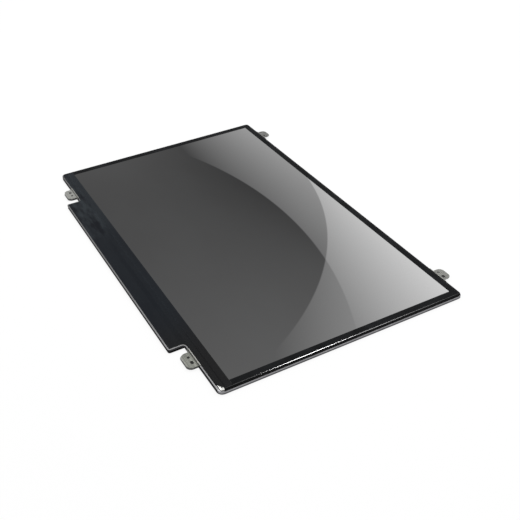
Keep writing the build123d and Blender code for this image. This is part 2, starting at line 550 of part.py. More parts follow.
# Support frame: holds the sheets and the cell, tucks under the lip and snaps into the top wall
with BuildPart() as support_frame:
    with BuildSketch(Plane.XY.offset(FLOOR_TOP)):
        add(frame_plan(0))
        guide_wall = GUIDE_RIGHT + GUIDE_CLEARANCE
        guide_wall_upper = GUIDE_UPPER + GUIDE_CLEARANCE
        span(-guide_wall, guide_wall, LED_POCKET_LOWER, guide_wall_upper, mode=Mode.SUBTRACT)
        with GridLocations(2 * guide_wall, GUIDE_EAR_SPACING, 2, 2):
            Rectangle(2 * GUIDE_EAR_REACH, GUIDE_EAR_LENGTH + 2 * GUIDE_CLEARANCE, mode=Mode.SUBTRACT)
        with Locations((0, guide_wall_upper)):
            with GridLocations(SHEET_EAR_SPACING, 0, 2, 1):
                Rectangle(SHEET_EAR_LENGTH + 2 * GUIDE_CLEARANCE, 2 * SHEET_EAR_REACH, mode=Mode.SUBTRACT)
    extrude(amount=LEDGE_BOTTOM - FLOOR_TOP)
    with BuildSketch(Plane.XY.offset(LEDGE_BOTTOM)):
        add(frame_plan(0))
        span(-OPENING_RIGHT, OPENING_RIGHT, -OPENING_UPPER, OPENING_UPPER, mode=Mode.SUBTRACT)
    extrude(amount=LEDGE_THICKNESS)
    with BuildSketch(Plane.XY.offset(LEDGE_TOP)):
        add(frame_plan(0))
        span(-POCKET_RIGHT, POCKET_RIGHT, POCKET_LOWER, POCKET_UPPER, mode=Mode.SUBTRACT)
    extrude(amount=RIM_TOP - LEDGE_TOP)
    with BuildSketch(Plane.XY.offset(LIP_BOTTOM - LIP_CLEARANCE)):
        add(frame_plan(0))
        add(frame_plan(RIM_WALL - RIM_RIB), mode=Mode.SUBTRACT)
        span(-FRAME_RIGHT, FRAME_RIGHT, FRAME_LOWER, LIP_END + FRAME_CLEARANCE, mode=Mode.INTERSECT)
    extrude(amount=RIM_TOP - LIP_BOTTOM + LIP_CLEARANCE, mode=Mode.SUBTRACT)
    with BuildSketch(Plane.XY.offset(LEDGE_TOP)):
        with Locations((0, (FRAME_LOWER + POCKET_LOWER) / 2)):
            with GridLocations(SOURCE_FILM_PITCH, 0, SOURCE_FILM_COUNT, 1):
                Rectangle(SOURCE_FILM_WIDTH + 2 * SOURCE_FILM_CLEARANCE, RIM_WALL)
    extrude(amount=RIM_TOP - LEDGE_TOP, mode=Mode.SUBTRACT)
    strip_end = LED_STRIP_RIGHT + LED_STRIP_SETBACK
    strip_relief = LED_BOTTOM + LED_STRIP_HEADROOM
    block(-strip_end, strip_end, FRAME_LOWER, LED_POCKET_LOWER, FLOOR_TOP, strip_relief, mode=Mode.SUBTRACT)
    tail_half = LED_TAIL_WIDTH / 2 + LED_TAIL_CLEARANCE
    tail_back = LED_STRIP_LOWER + LED_STRIP_THICKNESS + LED_TAIL_CLEARANCE
    tail_left = LED_TAIL_X - tail_half
    tail_right = LED_TAIL_X + tail_half
    block(tail_left, tail_right, FRAME_LOWER, tail_back, FLOOR_TOP, RIM_TOP, mode=Mode.SUBTRACT)
    with BuildSketch(Plane.YZ.offset(-SNAP_LENGTH / 2)):
        snap_tip = FRAME_UPPER + FRAME_CLEARANCE + SNAP_ENGAGEMENT
        snap_top = SNAP_BOTTOM + SNAP_HEIGHT
        with BuildLine():
            Polyline((FRAME_UPPER, SNAP_BOTTOM), (snap_tip, snap_top), (FRAME_UPPER, snap_top), close=True)
        make_face()
    snap = extrude(amount=SNAP_LENGTH, mode=Mode.PRIVATE)
    with GridLocations(SNAP_SPACING, 0, SNAP_COUNT, 1):
        add(snap)
support_frame.part.label = "support_frame"
export_step(support_frame.part, "parts/support_frame.step")

# Double-sided tape ring between the frame's ledge and the cell
with BuildPart() as cell_tape:
    tape_right = CELL_RIGHT - POLARIZER_INSET
    with BuildSketch(Plane.XY.offset(LEDGE_TOP)):
        span(-tape_right, tape_right, FILTER_LOWER + POLARIZER_INSET, CELL_UPPER - POLARIZER_INSET)
        span(-OPENING_RIGHT, OPENING_RIGHT, -OPENING_UPPER, OPENING_UPPER, mode=Mode.SUBTRACT)
    extrude(amount=CELL_TAPE_THICKNESS)
cell_tape.part.label = "cell_tape"
export_step(cell_tape.part, "parts/cell_tape.step")

# Liquid crystal cell: two polarizers and two sheets of glass, the lower one with a bonding ledge
CELL_LAYERS = (
    ("rear_polarizer", POLARIZER_INSET, FILTER_LOWER, REAR_POLARIZER_BOTTOM, POLARIZER_THICKNESS),
    ("array_glass", 0, ARRAY_LOWER, ARRAY_GLASS_BOTTOM, GLASS_THICKNESS),
    ("filter_glass", 0, FILTER_LOWER, ARRAY_GLASS_TOP, GLASS_THICKNESS),
    ("front_polarizer", POLARIZER_INSET, FILTER_LOWER, FILTER_GLASS_TOP, POLARIZER_THICKNESS),
)
for layer_name, inset, layer_lower, layer_bottom, layer_thickness in CELL_LAYERS:
    with BuildPart() as cell_layer:
        with BuildSketch(Plane.XY.offset(layer_bottom)):
            span(-CELL_RIGHT + inset, CELL_RIGHT - inset, layer_lower + inset, CELL_UPPER - inset)
        extrude(amount=layer_thickness)
    cell_layer.part.label = layer_name
    export_step(cell_layer.part, f"parts/{layer_name}.step")


def clip_plan():
    """Plan of the bottom right corner that the black tapes leave bare."""
    base = RIB_LOWER
    knee = (FRAME_RIGHT - CLIP_KNEE_X, base + CLIP_KNEE_Y)
    shoulder = (FRAME_RIGHT - CLIP_SHOULDER_X, base + CLIP_SHOULDER_Y)
    with BuildSketch() as plan:
        with BuildLine():
            Polyline(
                (FRAME_RIGHT - CLIP_WIDTH, base),
                knee,
                shoulder,
                (FRAME_RIGHT, base + CLIP_HEIGHT),
                (FRAME_RIGHT, base),
                close=True,
            )
        make_face()
    return plan.sketch


def cover_plan():
    """Plan of the film over the bottom border and the board shelf."""
    with BuildSketch() as plan:
        span(-STEP_END, STEP_END, COVER_FLAT, -SCREEN_UPPER)
        span(-STEP_START + TAPE_SEAM, STEP_START - TAPE_SEAM, TRAY_LOWER, COVER_FLAT)
        span(-SHELF_RIGHT, SHELF_RIGHT, SHELF_LOWER, COVER_FLAT)
        add(tray_plan(LIP_WIDTH - COVER_LIP_OVERLAP), mode=Mode.INTERSECT)
        add(clip_plan(), mode=Mode.SUBTRACT)
        span(FRAME_RIGHT - CLIP_WIDTH, FRAME_RIGHT, TRAY_LOWER, RIB_LOWER, mode=Mode.SUBTRACT)
    return plan.sketch


# Black tape along both sides and the top: it steps down from the glass to the frame's rim
with BuildPart() as edge_tape:
    with BuildLine() as edge_path:
        Polyline(
            (-FRAME_RIGHT, RIB_LOWER),
            (-FRAME_RIGHT, FRAME_UPPER),
            (FRAME_RIGHT, FRAME_UPPER),
            (FRAME_RIGHT, RIB_LOWER),
        )
    with BuildSketch(Plane.XZ.offset(-RIB_LOWER)):
        with BuildLine():
            FilletPolyline(
                (-FRAME_RIGHT, RIM_TOP),
                (-STEP_START, RIM_TOP),
                (-STEP_END, SCREEN_TOP),
                (-SCREEN_RIGHT, SCREEN_TOP),
                radius=TAPE_BEND_RADIUS,
            )
            offset(amount=TAPE_THICKNESS, side=Side.LEFT)
        make_face()
    sweep(path=edge_path.wire(), transition=Transition.RIGHT)
    with BuildSketch():
        add(frame_plan(0))
        span(-SCREEN_RIGHT, SCREEN_RIGHT, RIB_LOWER, SCREEN_UPPER, mode=Mode.SUBTRACT)
        seam = STEP_END + TAPE_SEAM
        span(-seam, seam, RIB_LOWER, -SCREEN_UPPER + TAPE_SEAM, mode=Mode.SUBTRACT)
        span(-STEP_START, STEP_START, RIB_LOWER, COVER_FLAT, mode=Mode.SUBTRACT)
        add(clip_plan(), mode=Mode.SUBTRACT)
    extrude(amount=SCREEN_TOP + TAPE_THICKNESS, mode=Mode.INTERSECT)
edge_tape.part.label = "edge_tape"
export_step(edge_tape.part, "parts/edge_tape.step")

# Black film that covers the bottom border, the driver films and the board
with BuildPart() as cover_film:
    with BuildSketch(Plane.YZ):
        with BuildLine():
            FilletPolyline(
                (SHELF_LOWER, WALL_TOP),
                (RIB_LOWER - COVER_SLOPE, WALL_TOP),
                (RIB_LOWER, RIM_TOP),
                (COVER_FLAT, RIM_TOP),
                (COVER_STEP, SCREEN_TOP),
                (-SCREEN_UPPER, SCREEN_TOP),
                radius=TAPE_BEND_RADIUS,
            )
            offset(amount=TAPE_THICKNESS, side=Side.LEFT)
        make_face()
    extrude(amount=FRAME_RIGHT, both=True)
    with BuildSketch():
        add(cover_plan())
    extrude(amount=SCREEN_TOP + TAPE_THICKNESS, mode=Mode.INTERSECT)
cover_film.part.label = "cover_film"
export_step(cover_film.part, "parts/cover_film.step")

# Bare metal foil that earths the bottom right corner of the glass to the tray
with BuildPart() as ground_foil:
    with BuildSketch(Plane.XY.offset(RIM_TOP)):
        add(clip_plan())
        offset(amount=-TAPE_SEAM, kind=Kind.INTERSECTION)
        add(frame_plan(TAPE_SEAM), mode=Mode.INTERSECT)
    extrude(amount=TAPE_THICKNESS)
ground_foil.part.label = "ground_foil"
export_step(ground_foil.part, "parts/ground_foil.step")

# Driver films from the glass down to the board
with BuildPart() as source_films:
    for column in range(SOURCE_FILM_COUNT):
        film_x = (column - (SOURCE_FILM_COUNT - 1) / 2) * SOURCE_FILM_PITCH
        with BuildSketch(Plane.YZ.offset(film_x)):
            with BuildLine():
                FilletPolyline(
                    (BOND_LOWER, BOARD_TOP),
                    (SLOPE_END, BOARD_TOP),
                    (SLOPE_START, ARRAY_GLASS_TOP),
                    (ARRAY_LOWER + SOURCE_FILM_BOND, ARRAY_GLASS_TOP),
                    radius=SOURCE_FILM_BEND_RADIUS,
                )
                offset(amount=SOURCE_FILM_THICKNESS, side=Side.LEFT)
            make_face()
        extrude(amount=SOURCE_FILM_WIDTH / 2, both=True)
source_films.part.label = "source_films"
export_step(source_films.part, "parts/source_films.step")

# Long thin driver chips, one on each film
with BuildPart() as source_chips:
    with Locations((0, SOURCE_CHIP_Y, BOARD_TOP + SOURCE_FILM_THICKNESS + SOURCE_CHIP_HEIGHT / 2)):
        with GridLocations(SOURCE_FILM_PITCH, 0, SOURCE_FILM_COUNT, 1):
            Box(SOURCE_CHIP_LENGTH, SOURCE_CHIP_WIDTH, SOURCE_CHIP_HEIGHT)
source_chips.part.label = "source_chips"
export_step(source_chips.part, "parts/source_chips.step")


def board_plan():
    """Plan of the control board, rounded at its two outer corners to clear the tray's bends."""
    with BuildSketch() as plan:
        span(-BOARD_RIGHT, BOARD_RIGHT, BOARD_LOWER, BOARD_UPPER)
        fillet(plan.vertices().group_by(Axis.Y)[0], SHELF_CORNER_RADIUS - TRAY_SHEET - BOARD_CLEARANCE)
    return plan.sketch


# Insulating tape between the shelf and the board, open round the video socket
with BuildPart() as board_tape:
    with BuildSketch(Plane.XY.offset(SHELF_FLOOR_TOP)):
        add(board_plan())
        window_top = SOCKET_BACK + CONTACT_FOOT
        span(window_left, window_right, SOCKET_FRONT - SOCKET_WINDOW_GAP, window_top, mode=Mode.SUBTRACT)
    extrude(amount=BOARD_TAPE_THICKNESS)
board_tape.part.label = "board_tape"
export_step(board_tape.part, "parts/board_tape.step")

# Control board
with BuildPart() as control_board:
    with BuildSketch(Plane.XY.offset(BOARD_BOTTOM)):
        add(board_plan())
    extrude(amount=BOARD_THICKNESS)
control_board.part.label = "control_board"
export_step(control_board.part, "parts/control_board.step")

# Single chips on the board
BOARD_CHIPS = (
    ("timing_chip", TIMING_CHIP_PLACE, TIMING_CHIP_SIZE, TIMING_CHIP_SIZE, TIMING_CHIP_HEIGHT),
    ("memory_chip", MEMORY_CHIP_PLACE, MEMORY_CHIP_LENGTH, MEMORY_CHIP_WIDTH, MEMORY_CHIP_HEIGHT),
    ("power_chip", POWER_CHIP_PLACE, POWER_CHIP_SIZE, POWER_CHIP_SIZE, POWER_CHIP_HEIGHT),
    ("lamp_driver_chip", LAMP_CHIP_PLACE, LAMP_CHIP_SIZE, LAMP_CHIP_SIZE, LAMP_CHIP_HEIGHT),
)
for chip_name, chip_place, chip_length, chip_width, chip_height in BOARD_CHIPS:
    with BuildPart() as board_chip:
        with Locations((chip_place * BOARD_RIGHT, PARTS_ROW_Y, BOARD_TOP + chip_height / 2)):
            Box(chip_length, chip_width, chip_height)
    board_chip.part.label = chip_name
    export_step(board_chip.part, f"parts/{chip_name}.step")

# Wound inductors beside the power chip and the lamp driver
with BuildPart() as power_inductors:
    with BuildSketch(Plane.XY.offset(BOARD_TOP)):
        with Locations(*[(place * BOARD_RIGHT, PARTS_ROW_Y) for place in INDUCTOR_PLACES]):
            RectangleRounded(INDUCTOR_SIZE, INDUCTOR_SIZE, INDUCTOR_CORNER_RADIUS)
    extrude(amount=INDUCTOR_HEIGHT)
power_inductors.part.label = "power_inductors"
export_step(power_inductors.part, "parts/power_inductors.step")

# Rows of small capacitors and resistors
with BuildPart() as board_capacitors:
    with Locations((CAPACITOR_ROW_PLACE * BOARD_RIGHT, PARTS_ROW_Y, BOARD_TOP + CAPACITOR_HEIGHT / 2)):
        with GridLocations(CAPACITOR_PITCH, 0, CAPACITOR_COUNT, 1):
            Box(CAPACITOR_LENGTH, CAPACITOR_WIDTH, CAPACITOR_HEIGHT)
board_capacitors.part.label = "board_capacitors"
export_step(board_capacitors.part, "parts/board_capacitors.step")

with BuildPart() as board_resistors:
    with Locations((RESISTOR_ROW_PLACE * BOARD_RIGHT, PARTS_ROW_Y, BOARD_TOP + RESISTOR_HEIGHT / 2)):
        with GridLocations(RESISTOR_PITCH, 0, RESISTOR_COUNT, 1):
            Box(RESISTOR_LENGTH, RESISTOR_WIDTH, RESISTOR_HEIGHT)
board_resistors.part.label = "board_resistors"
export_step(board_resistors.part, "parts/board_resistors.step")

# Contacts of the video socket: a beam along the roof of the mouth, a step and a soldered foot
with BuildPart() as video_socket_contacts:
    with BuildSketch(Plane.YZ.offset(SOCKET_X - CONTACT_WIDTH / 2)):
        foot_end = SOCKET_BACK + CONTACT_FOOT
        with BuildLine():
            Polyline(
                (SOCKET_FRONT + CONTACT_RECESS, MOUTH_TOP - CONTACT_THICKNESS),
                (SOCKET_BACK + CONTACT_THICKNESS, MOUTH_TOP - CONTACT_THICKNESS),
                (SOCKET_BACK + CONTACT_THICKNESS, BOARD_BOTTOM - CONTACT_THICKNESS),
                (foot_end, BOARD_BOTTOM - CONTACT_THICKNESS),
                (foot_end, BOARD_BOTTOM),
                (SOCKET_BACK, BOARD_BOTTOM),
                (SOCKET_BACK, MOUTH_TOP),
                (SOCKET_FRONT + CONTACT_RECESS, MOUTH_TOP),
                close=True,
            )
        make_face()
    contact = extrude(amount=CONTACT_WIDTH, mode=Mode.PRIVATE)
    with GridLocations(CONTACT_PITCH, 0, CONTACT_COUNT, 1):
        add(contact)
video_socket_contacts.part.label = "video_socket_contacts"
export_step(video_socket_contacts.part, "parts/video_socket_contacts.step")

# Moulded body of the video socket, with its mouth towards the bottom edge
with BuildPart() as video_socket:
    socket_left = SOCKET_X - SOCKET_WIDTH / 2
    socket_right = SOCKET_X + SOCKET_WIDTH / 2
    block(socket_left, socket_right, SOCKET_FRONT, SOCKET_BACK, SOCKET_BOTTOM, BOARD_BOTTOM)
    mouth_left = SOCKET_X - MOUTH_WIDTH / 2
    mouth_right = SOCKET_X + MOUTH_WIDTH / 2
    mouth_back = SOCKET_FRONT + MOUTH_DEPTH
    mouth_bottom = MOUTH_TOP - MOUTH_HEIGHT
    block(mouth_left, mouth_right, SOCKET_FRONT, mouth_back, mouth_bottom, MOUTH_TOP, mode=Mode.SUBTRACT)
    add(video_socket_contacts.part, mode=Mode.SUBTRACT)
video_socket.part.label = "video_socket"
export_step(video_socket.part, "parts/video_socket.step")

# Thin metal shell under the socket, soldered to the board at both ends
with BuildPart() as video_socket_shell:
    with BuildSketch(Plane.XZ.offset(-SOCKET_FRONT)):
        with BuildLine():
            Polyline(
                (socket_left, BOARD_BOTTOM),
                (socket_left, SOCKET_BOTTOM),
                (socket_right, SOCKET_BOTTOM),
                (socket_right, BOARD_BOTTOM),
            )
            offset(amount=SOCKET_SHELL_THICKNESS, side=Side.RIGHT, kind=Kind.INTERSECTION)
        make_face()
    extrude(amount=-SOCKET_DEPTH)
video_socket_shell.part.label = "video_socket_shell"
export_step(video_socket_shell.part, "parts/video_socket_shell.step")
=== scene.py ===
"""Finishes, fine pieces and studio for the slim screen panel of a notebook computer.

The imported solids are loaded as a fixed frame. Each sub-assembly class dresses its own solids and adds
the pieces that plain solids can't show: rippled tape, a creased cover film, crinkled foil and weld
spots. All lengths are in metres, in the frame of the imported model.
"""

import json
import logging
import math
from abc import ABC, abstractmethod
from dataclasses import dataclass
from enum import Enum
from typing import Any, ClassVar, Optional, Sequence, Union

import bmesh
import bpy
from mathutils import Matrix, Vector


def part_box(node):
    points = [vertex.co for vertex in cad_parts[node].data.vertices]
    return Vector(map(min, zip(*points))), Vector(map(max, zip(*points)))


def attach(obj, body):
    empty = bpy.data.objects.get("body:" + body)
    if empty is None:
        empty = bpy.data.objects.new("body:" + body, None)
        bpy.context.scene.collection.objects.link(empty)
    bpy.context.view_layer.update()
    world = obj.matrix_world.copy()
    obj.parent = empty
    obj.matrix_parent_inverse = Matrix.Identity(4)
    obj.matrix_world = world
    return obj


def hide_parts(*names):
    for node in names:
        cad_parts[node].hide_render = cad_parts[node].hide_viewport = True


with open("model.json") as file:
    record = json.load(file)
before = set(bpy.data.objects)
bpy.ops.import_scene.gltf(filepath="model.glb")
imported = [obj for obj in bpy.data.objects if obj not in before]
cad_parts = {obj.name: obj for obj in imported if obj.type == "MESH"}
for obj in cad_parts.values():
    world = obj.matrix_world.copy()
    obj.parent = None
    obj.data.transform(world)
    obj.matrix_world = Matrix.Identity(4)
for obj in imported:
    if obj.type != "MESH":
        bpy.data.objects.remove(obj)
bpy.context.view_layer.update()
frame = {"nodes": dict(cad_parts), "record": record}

LOG = logging.getLogger("screen_panel")
BODY = "root"
WHITE = (1.0, 1.0, 1.0, 1.0)

Colour = tuple[float, float, float, float]
Key = Union[int, str]
Operand = Union[float, "Signal"]


def tint(red: float, green: float, blue: float) -> Colour:
    """Turn a colour of 0 to 255, as it looks on a screen, into linear light.

    Args:
        red: Red as displayed.
        green: Green as displayed.
        blue: Blue as displayed.

    Returns:
        The linear colour with full opacity.
    """
    shares = [channel / 255 for channel in (red, green, blue)]
    linear = [s / 12.92 if s <= 0.04045 else ((s + 0.055) / 1.055) ** 2.4 for s in shares]
    return (linear[0], linear[1], linear[2], 1.0)


class Signal:
    """Output of a node, which Python's operators carry on into further nodes."""

    def __init__(self, net: "Net", node: bpy.types.Node, output: Key = 0) -> None:
        """Keep where the value comes from.

        Args:
            net: Tree that holds the node.
            node: Node that gives the value.
            output: Which of its outputs is meant.
        """
        self.net = net
        self.node = node
        self.output = output

    @property
    def socket(self) -> bpy.types.NodeSocket:
        """The output socket itself."""
        return self.node.outputs[self.output]

    def out(self, output: Key) -> "Signal":
        """Another output of the same node."""
        return Signal(self.net, self.node, output)

    def __add__(self, other: Operand) -> "Signal":
        """Sum of two values."""
        return self.net.math("ADD", self, other)

    def __radd__(self, other: Operand) -> "Signal":
        """Sum with a number on the left."""
        return self.net.math("ADD", other, self)

    def __sub__(self, other: Operand) -> "Signal":
        """Difference of two values."""
        return self.net.math("SUBTRACT", self, other)

    def __rsub__(self, other: Operand) -> "Signal":
        """Difference with a number on the left."""
        return self.net.math("SUBTRACT", other, self)

    def __mul__(self, other: Operand) -> "Signal":
        """Product of two values."""
        return self.net.math("MULTIPLY", self, other)

    def __rmul__(self, other: Operand) -> "Signal":
        """Product with a number on the left."""
        return self.net.math("MULTIPLY", other, self)

    def __truediv__(self, other: Operand) -> "Signal":
        """Quotient of two values."""
        return self.net.math("DIVIDE", self, other)

    def __rtruediv__(self, other: Operand) -> "Signal":
        """Quotient with a number on the left."""
        return self.net.math("DIVIDE", other, self)

    def __pow__(self, power: Operand) -> "Signal":
        """Value raised to a power."""
        return self.net.math("POWER", self, power)

    def __abs__(self) -> "Signal":
        """Value without its sign."""
        return self.net.math("ABSOLUTE", self)

    def least(self, other: Operand) -> "Signal":
        """The smaller of two values."""
        return self.net.math("MINIMUM", self, other)

    def most(self, other: Operand) -> "Signal":
        """The larger of two values."""
        return self.net.math("MAXIMUM", self, other)

    def within_one(self) -> "Signal":
        """Value held between 0 and 1."""
        return self.most(0.0).least(1.0)

    def rise(self, start: float, end: float) -> "Signal":
        """Smooth step from 0 at one value to 1 at another.

        Args:
            start: Value at which the step begins.
            end: Value at which it is complete.

        Returns:
            The step.
        """
        share = ((self - start) / (end - start)).within_one()
        return share * share * (3.0 - 2.0 * share)


class Net:
    """Node tree under construction, for shaders and for geometry alike."""

    def __init__(self, tree: bpy.types.NodeTree) -> None:
        """Take an empty tree, or empty the one that is given."""
        self.tree = tree
        tree.nodes.clear()

    def node(
        self,
        kind: str,
        settings: Optional[dict[str, Any]] = None,
        inputs: Optional[dict[Key, Any]] = None,
        output: Key = 0,
    ) -> Signal:
        """Add any node to the tree.

        Args:
            kind: Type of the node.
            settings: Its properties, which are set before its sockets.
            inputs: Values or signals for its sockets, by name or number.
            output: The output that the result stands for.

        Returns:
            The node's signal.
        """
        made = self.tree.nodes.new(kind)
        for key, value in (settings or {}).items():
            setattr(made, key, value)
        for key, value in (inputs or {}).items():
            if isinstance(value, Signal):
                self.tree.links.new(value.socket, made.inputs[key])
            else:
                made.inputs[key].default_value = value
        return Signal(self, made, output)

    def math(self, operation: str, *operands: Operand) -> Signal:
        """Join values in one Math node."""
        return self.node("ShaderNodeMath", {"operation": operation}, dict(enumerate(operands)))

    def axes(self, vector: Signal) -> tuple[Signal, Signal, Signal]:
        """Split a vector into its three values."""
        parts = self.node("ShaderNodeSeparateXYZ", inputs={0: vector})
        return parts.out(0), parts.out(1), parts.out(2)

    def vector(self, x: Operand, y: Operand, z: Operand) -> Signal:
        """Join three values into a vector."""
        return self.node("ShaderNodeCombineXYZ", inputs={0: x, 1: y, 2: z})

    def stretched(self, vector: Signal, scale: Sequence[float]) -> Signal:
        """Multiply a vector by one factor for each axis."""
        return self.node("ShaderNodeVectorMath", {"operation": "MULTIPLY"}, {0: vector, 1: scale})

    def noise(self, vector: Signal, scale: float, detail: float = 2.0, seed: Operand = 0.0) -> Signal:
        """Soft random value from about 0 to 1.

        Args:
            vector: Place at which it is read.
            scale: Number of lumps in a metre.
            detail: How many finer layers are added.
            seed: Which random field is read.

        Returns:
            The random value.
        """
        sockets = {"Vector": vector, "Scale": scale, "Detail": detail, "W": seed}
        return self.node("ShaderNodeTexNoise", {"noise_dimensions": "4D"}, sockets)

    def cells(self, vector: Signal, scale: float, feature: str) -> Signal:
        """Distance to the points or borders of a random cell pattern."""
        sockets = {"Vector": vector, "Scale": scale}
        return self.node("ShaderNodeTexVoronoi", {"feature": feature}, sockets, "Distance")

    def blend(self, share: Operand, first: Any, second: Any) -> Signal:
        """Mix two colours.

        Args:
            share: How much of the second colour shows, from 0 to 1.
            first: Colour at a share of 0.
            second: Colour at a share of 1.

        Returns:
            The mixed colour.
        """
        return self.node("ShaderNodeMix", {"data_type": "RGBA"}, {0: share, 6: first, 7: second}, 2)

    def relief(self, height: Signal, depth: float, strength: float) -> Signal:
        """Normal of a surface with a fine relief.

        Args:
            height: Relief from 0 to 1.
            depth: Height of the relief in metres.
            strength: Share of it that shows.

        Returns:
            The normal.
        """
        return self.node("ShaderNodeBump", inputs={"Height": height, "Distance": depth, "Strength": strength})

    def principled(self, **sockets: Any) -> Signal:
        """Surface shader whose sockets are named with underscores for spaces."""
        inputs = {name.replace("_", " "): value for name, value in sockets.items()}
        return self.node("ShaderNodeBsdfPrincipled", inputs=inputs)

    def seen_ray(self) -> Signal:
        """Tell the rays that show a surface from those that only carry its light.

        Returns:
            1 for rays from the camera, from a gloss or through glass, and 0 for the rest.
        """
        path = self.node("ShaderNodeLightPath")
        gloss = path.out("Is Glossy Ray").most(path.out("Is Transmission Ray"))
        return path.out("Is Camera Ray").most(gloss)


class Recipe:
    """Geometry Nodes tree with named sizes, which turns one plain mesh into another."""

    def __init__(self, name: str, sizes: dict[str, float]) -> None:
        """Make the tree and its inputs.

        Args:
            name: Name of the tree.
            sizes: Named inputs and their values.
        """
        self.tree = bpy.data.node_groups.new(name, "GeometryNodeTree")
        self.net = Net(self.tree)
        self.values: dict[str, float] = {}
        sockets = self.tree.interface
        sockets.new_socket("Geometry", in_out="INPUT", socket_type="NodeSocketGeometry")
        sockets.new_socket("Geometry", in_out="OUTPUT", socket_type="NodeSocketGeometry")
        for label, value in sizes.items():
            made = sockets.new_socket(label, in_out="INPUT", socket_type="NodeSocketFloat")
            self.values[made.identifier] = value
        self.given = self.net.node("NodeGroupInput", output="Geometry")

    def size(self, label: str) -> Signal:
        """One of the named inputs."""
        return self.given.out(label)

    def position(self) -> tuple[Signal, Signal, Signal]:
        """The three coordinates of each point."""
        return self.net.axes(self.net.node("GeometryNodeInputPosition"))

    def lifted(self, height: Signal) -> Signal:
        """The given mesh with its points moved up by a height."""
        offset = self.net.vector(0.0, 0.0, height)
        return self.net.node("GeometryNodeSetPosition", inputs={"Geometry": self.given, "Offset": offset})

    def close(self, geometry: Signal, material: bpy.types.Material) -> None:
        """End the tree with real geometry in one material.

        Args:
            geometry: What the tree has made.
            material: Finish of the piece.
        """
        real = self.net.node("GeometryNodeRealizeInstances", inputs={"Geometry": geometry})
        dressed = self.net.node("GeometryNodeSetMaterial", inputs={"Geometry": real, "Material": material})
        self.net.node("NodeGroupOutput", inputs={"Geometry": dressed})

    def apply(self, piece: bpy.types.Object) -> None:
        """Run the tree on a piece and keep the result as its plain mesh.

        Args:
            piece: Piece whose mesh is replaced.
        """
        modifier = piece.modifiers.new(self.tree.name, "NODES")
        modifier.node_group = self.tree
        for identifier, value in self.values.items():
            modifier[identifier] = value
        graph = bpy.context.evaluated_depsgraph_get()
        shaped = bpy.data.meshes.new_from_object(piece.evaluated_get(graph), depsgraph=graph)
        piece.modifiers.remove(modifier)
        plain = piece.data
        piece.data = shaped
        shaped.name = piece.name
        bpy.data.meshes.remove(plain)


class Grain(Enum):
    """Direction in which a sheet was rolled or brushed, as lumps in a metre on each axis."""

    ALONG_X = (40.0, 1500.0, 1500.0)
    NONE = (500.0, 500.0, 500.0)


@dataclass(frozen=True)
class Finish(ABC):
    """Surface finish that becomes one material."""

    name: str

    def material(self) -> bpy.types.Material:
        """Give the finish's material, which is made on first use.

        Returns:
            The material.
        """
        title = f"{self.name}_finish"
        made = bpy.data.materials.get(title)
        if made is None:
            made = bpy.data.materials.new(title)
            made.use_nodes = True
            net = Net(made.node_tree)
            place = net.node("ShaderNodeTexCoord", output="Object")
            net.node("ShaderNodeOutputMaterial", inputs={"Surface": self.shade(net, place)})
        return made

    @abstractmethod
    def shade(self, net: Net, place: Signal) -> Signal:
        """Build the surface shader.

        Args:
            net: Tree to build in.
            place: Point on the object.

        Returns:
            The shader.
        """


@dataclass(frozen=True)
class SheetMetal(Finish):
    """Rolled or brushed sheet with a satin grain, faint blotches and handling scratches."""

    dark: Colour
    light: Colour
    roughness: float
    grain: Grain
    grain_depth: float = 4e-6
    blotch_scale: float = 70.0
    blotch_share: float = 0.45
    scratch_scale: float = 55.0
    scratch_width: float = 0.012
    scratch_slant: tuple[float, float, float] = (1.0, 0.16, 1.0)
    edge_tint: Colour = WHITE

    def shade(self, net: Net, place: Signal) -> Signal:
        """Build the surface shader.

        Args:
            net: Tree to build in.
            place: Point on the object.

        Returns:
            The shader.
        """
        grain = net.noise(net.stretched(place, self.grain.value), 1.0, 3.0)
        blotch = net.noise(place, self.blotch_scale, 3.0, 4.0)
        slanted = net.stretched(place, self.scratch_slant)
        border = net.cells(slanted, self.scratch_scale, "DISTANCE_TO_EDGE")
        scratch = (1.0 - border.rise(0.0, self.scratch_width)) * blotch.rise(0.55, 0.7)
        shine = (grain + self.blotch_share * (blotch - grain)).rise(0.3, 0.72)
        sheet = net.blend((shine + 0.4 * scratch).within_one(), self.dark, self.light)
        return net.principled(
            Base_Color=self.marks_and_painted_light(net, place, sheet),
            Metallic=1.0,
            Specular_Tint=self.edge_tint,
            Roughness=self.roughness + 0.16 * (grain - 0.5) - 0.1 * (blotch - 0.5) + 0.1 * scratch,
            Normal=net.relief(grain - 0.6 * scratch, self.grain_depth, 0.6),
        )

    def marks_and_painted_light(self, net: Net, place: Signal, sheet: Signal) -> Signal:
        """Colour of the sheet with its marks, painted shade and painted highlights, which is unchanged on a
        plain sheet.

        Args:
            net: Tree to build in, which a plain sheet does not use.
            place: Point on the object, which a plain sheet does not use.
            sheet: Colour of the sheet as rolled.

        Returns:
            The colour.
        """
        return sheet


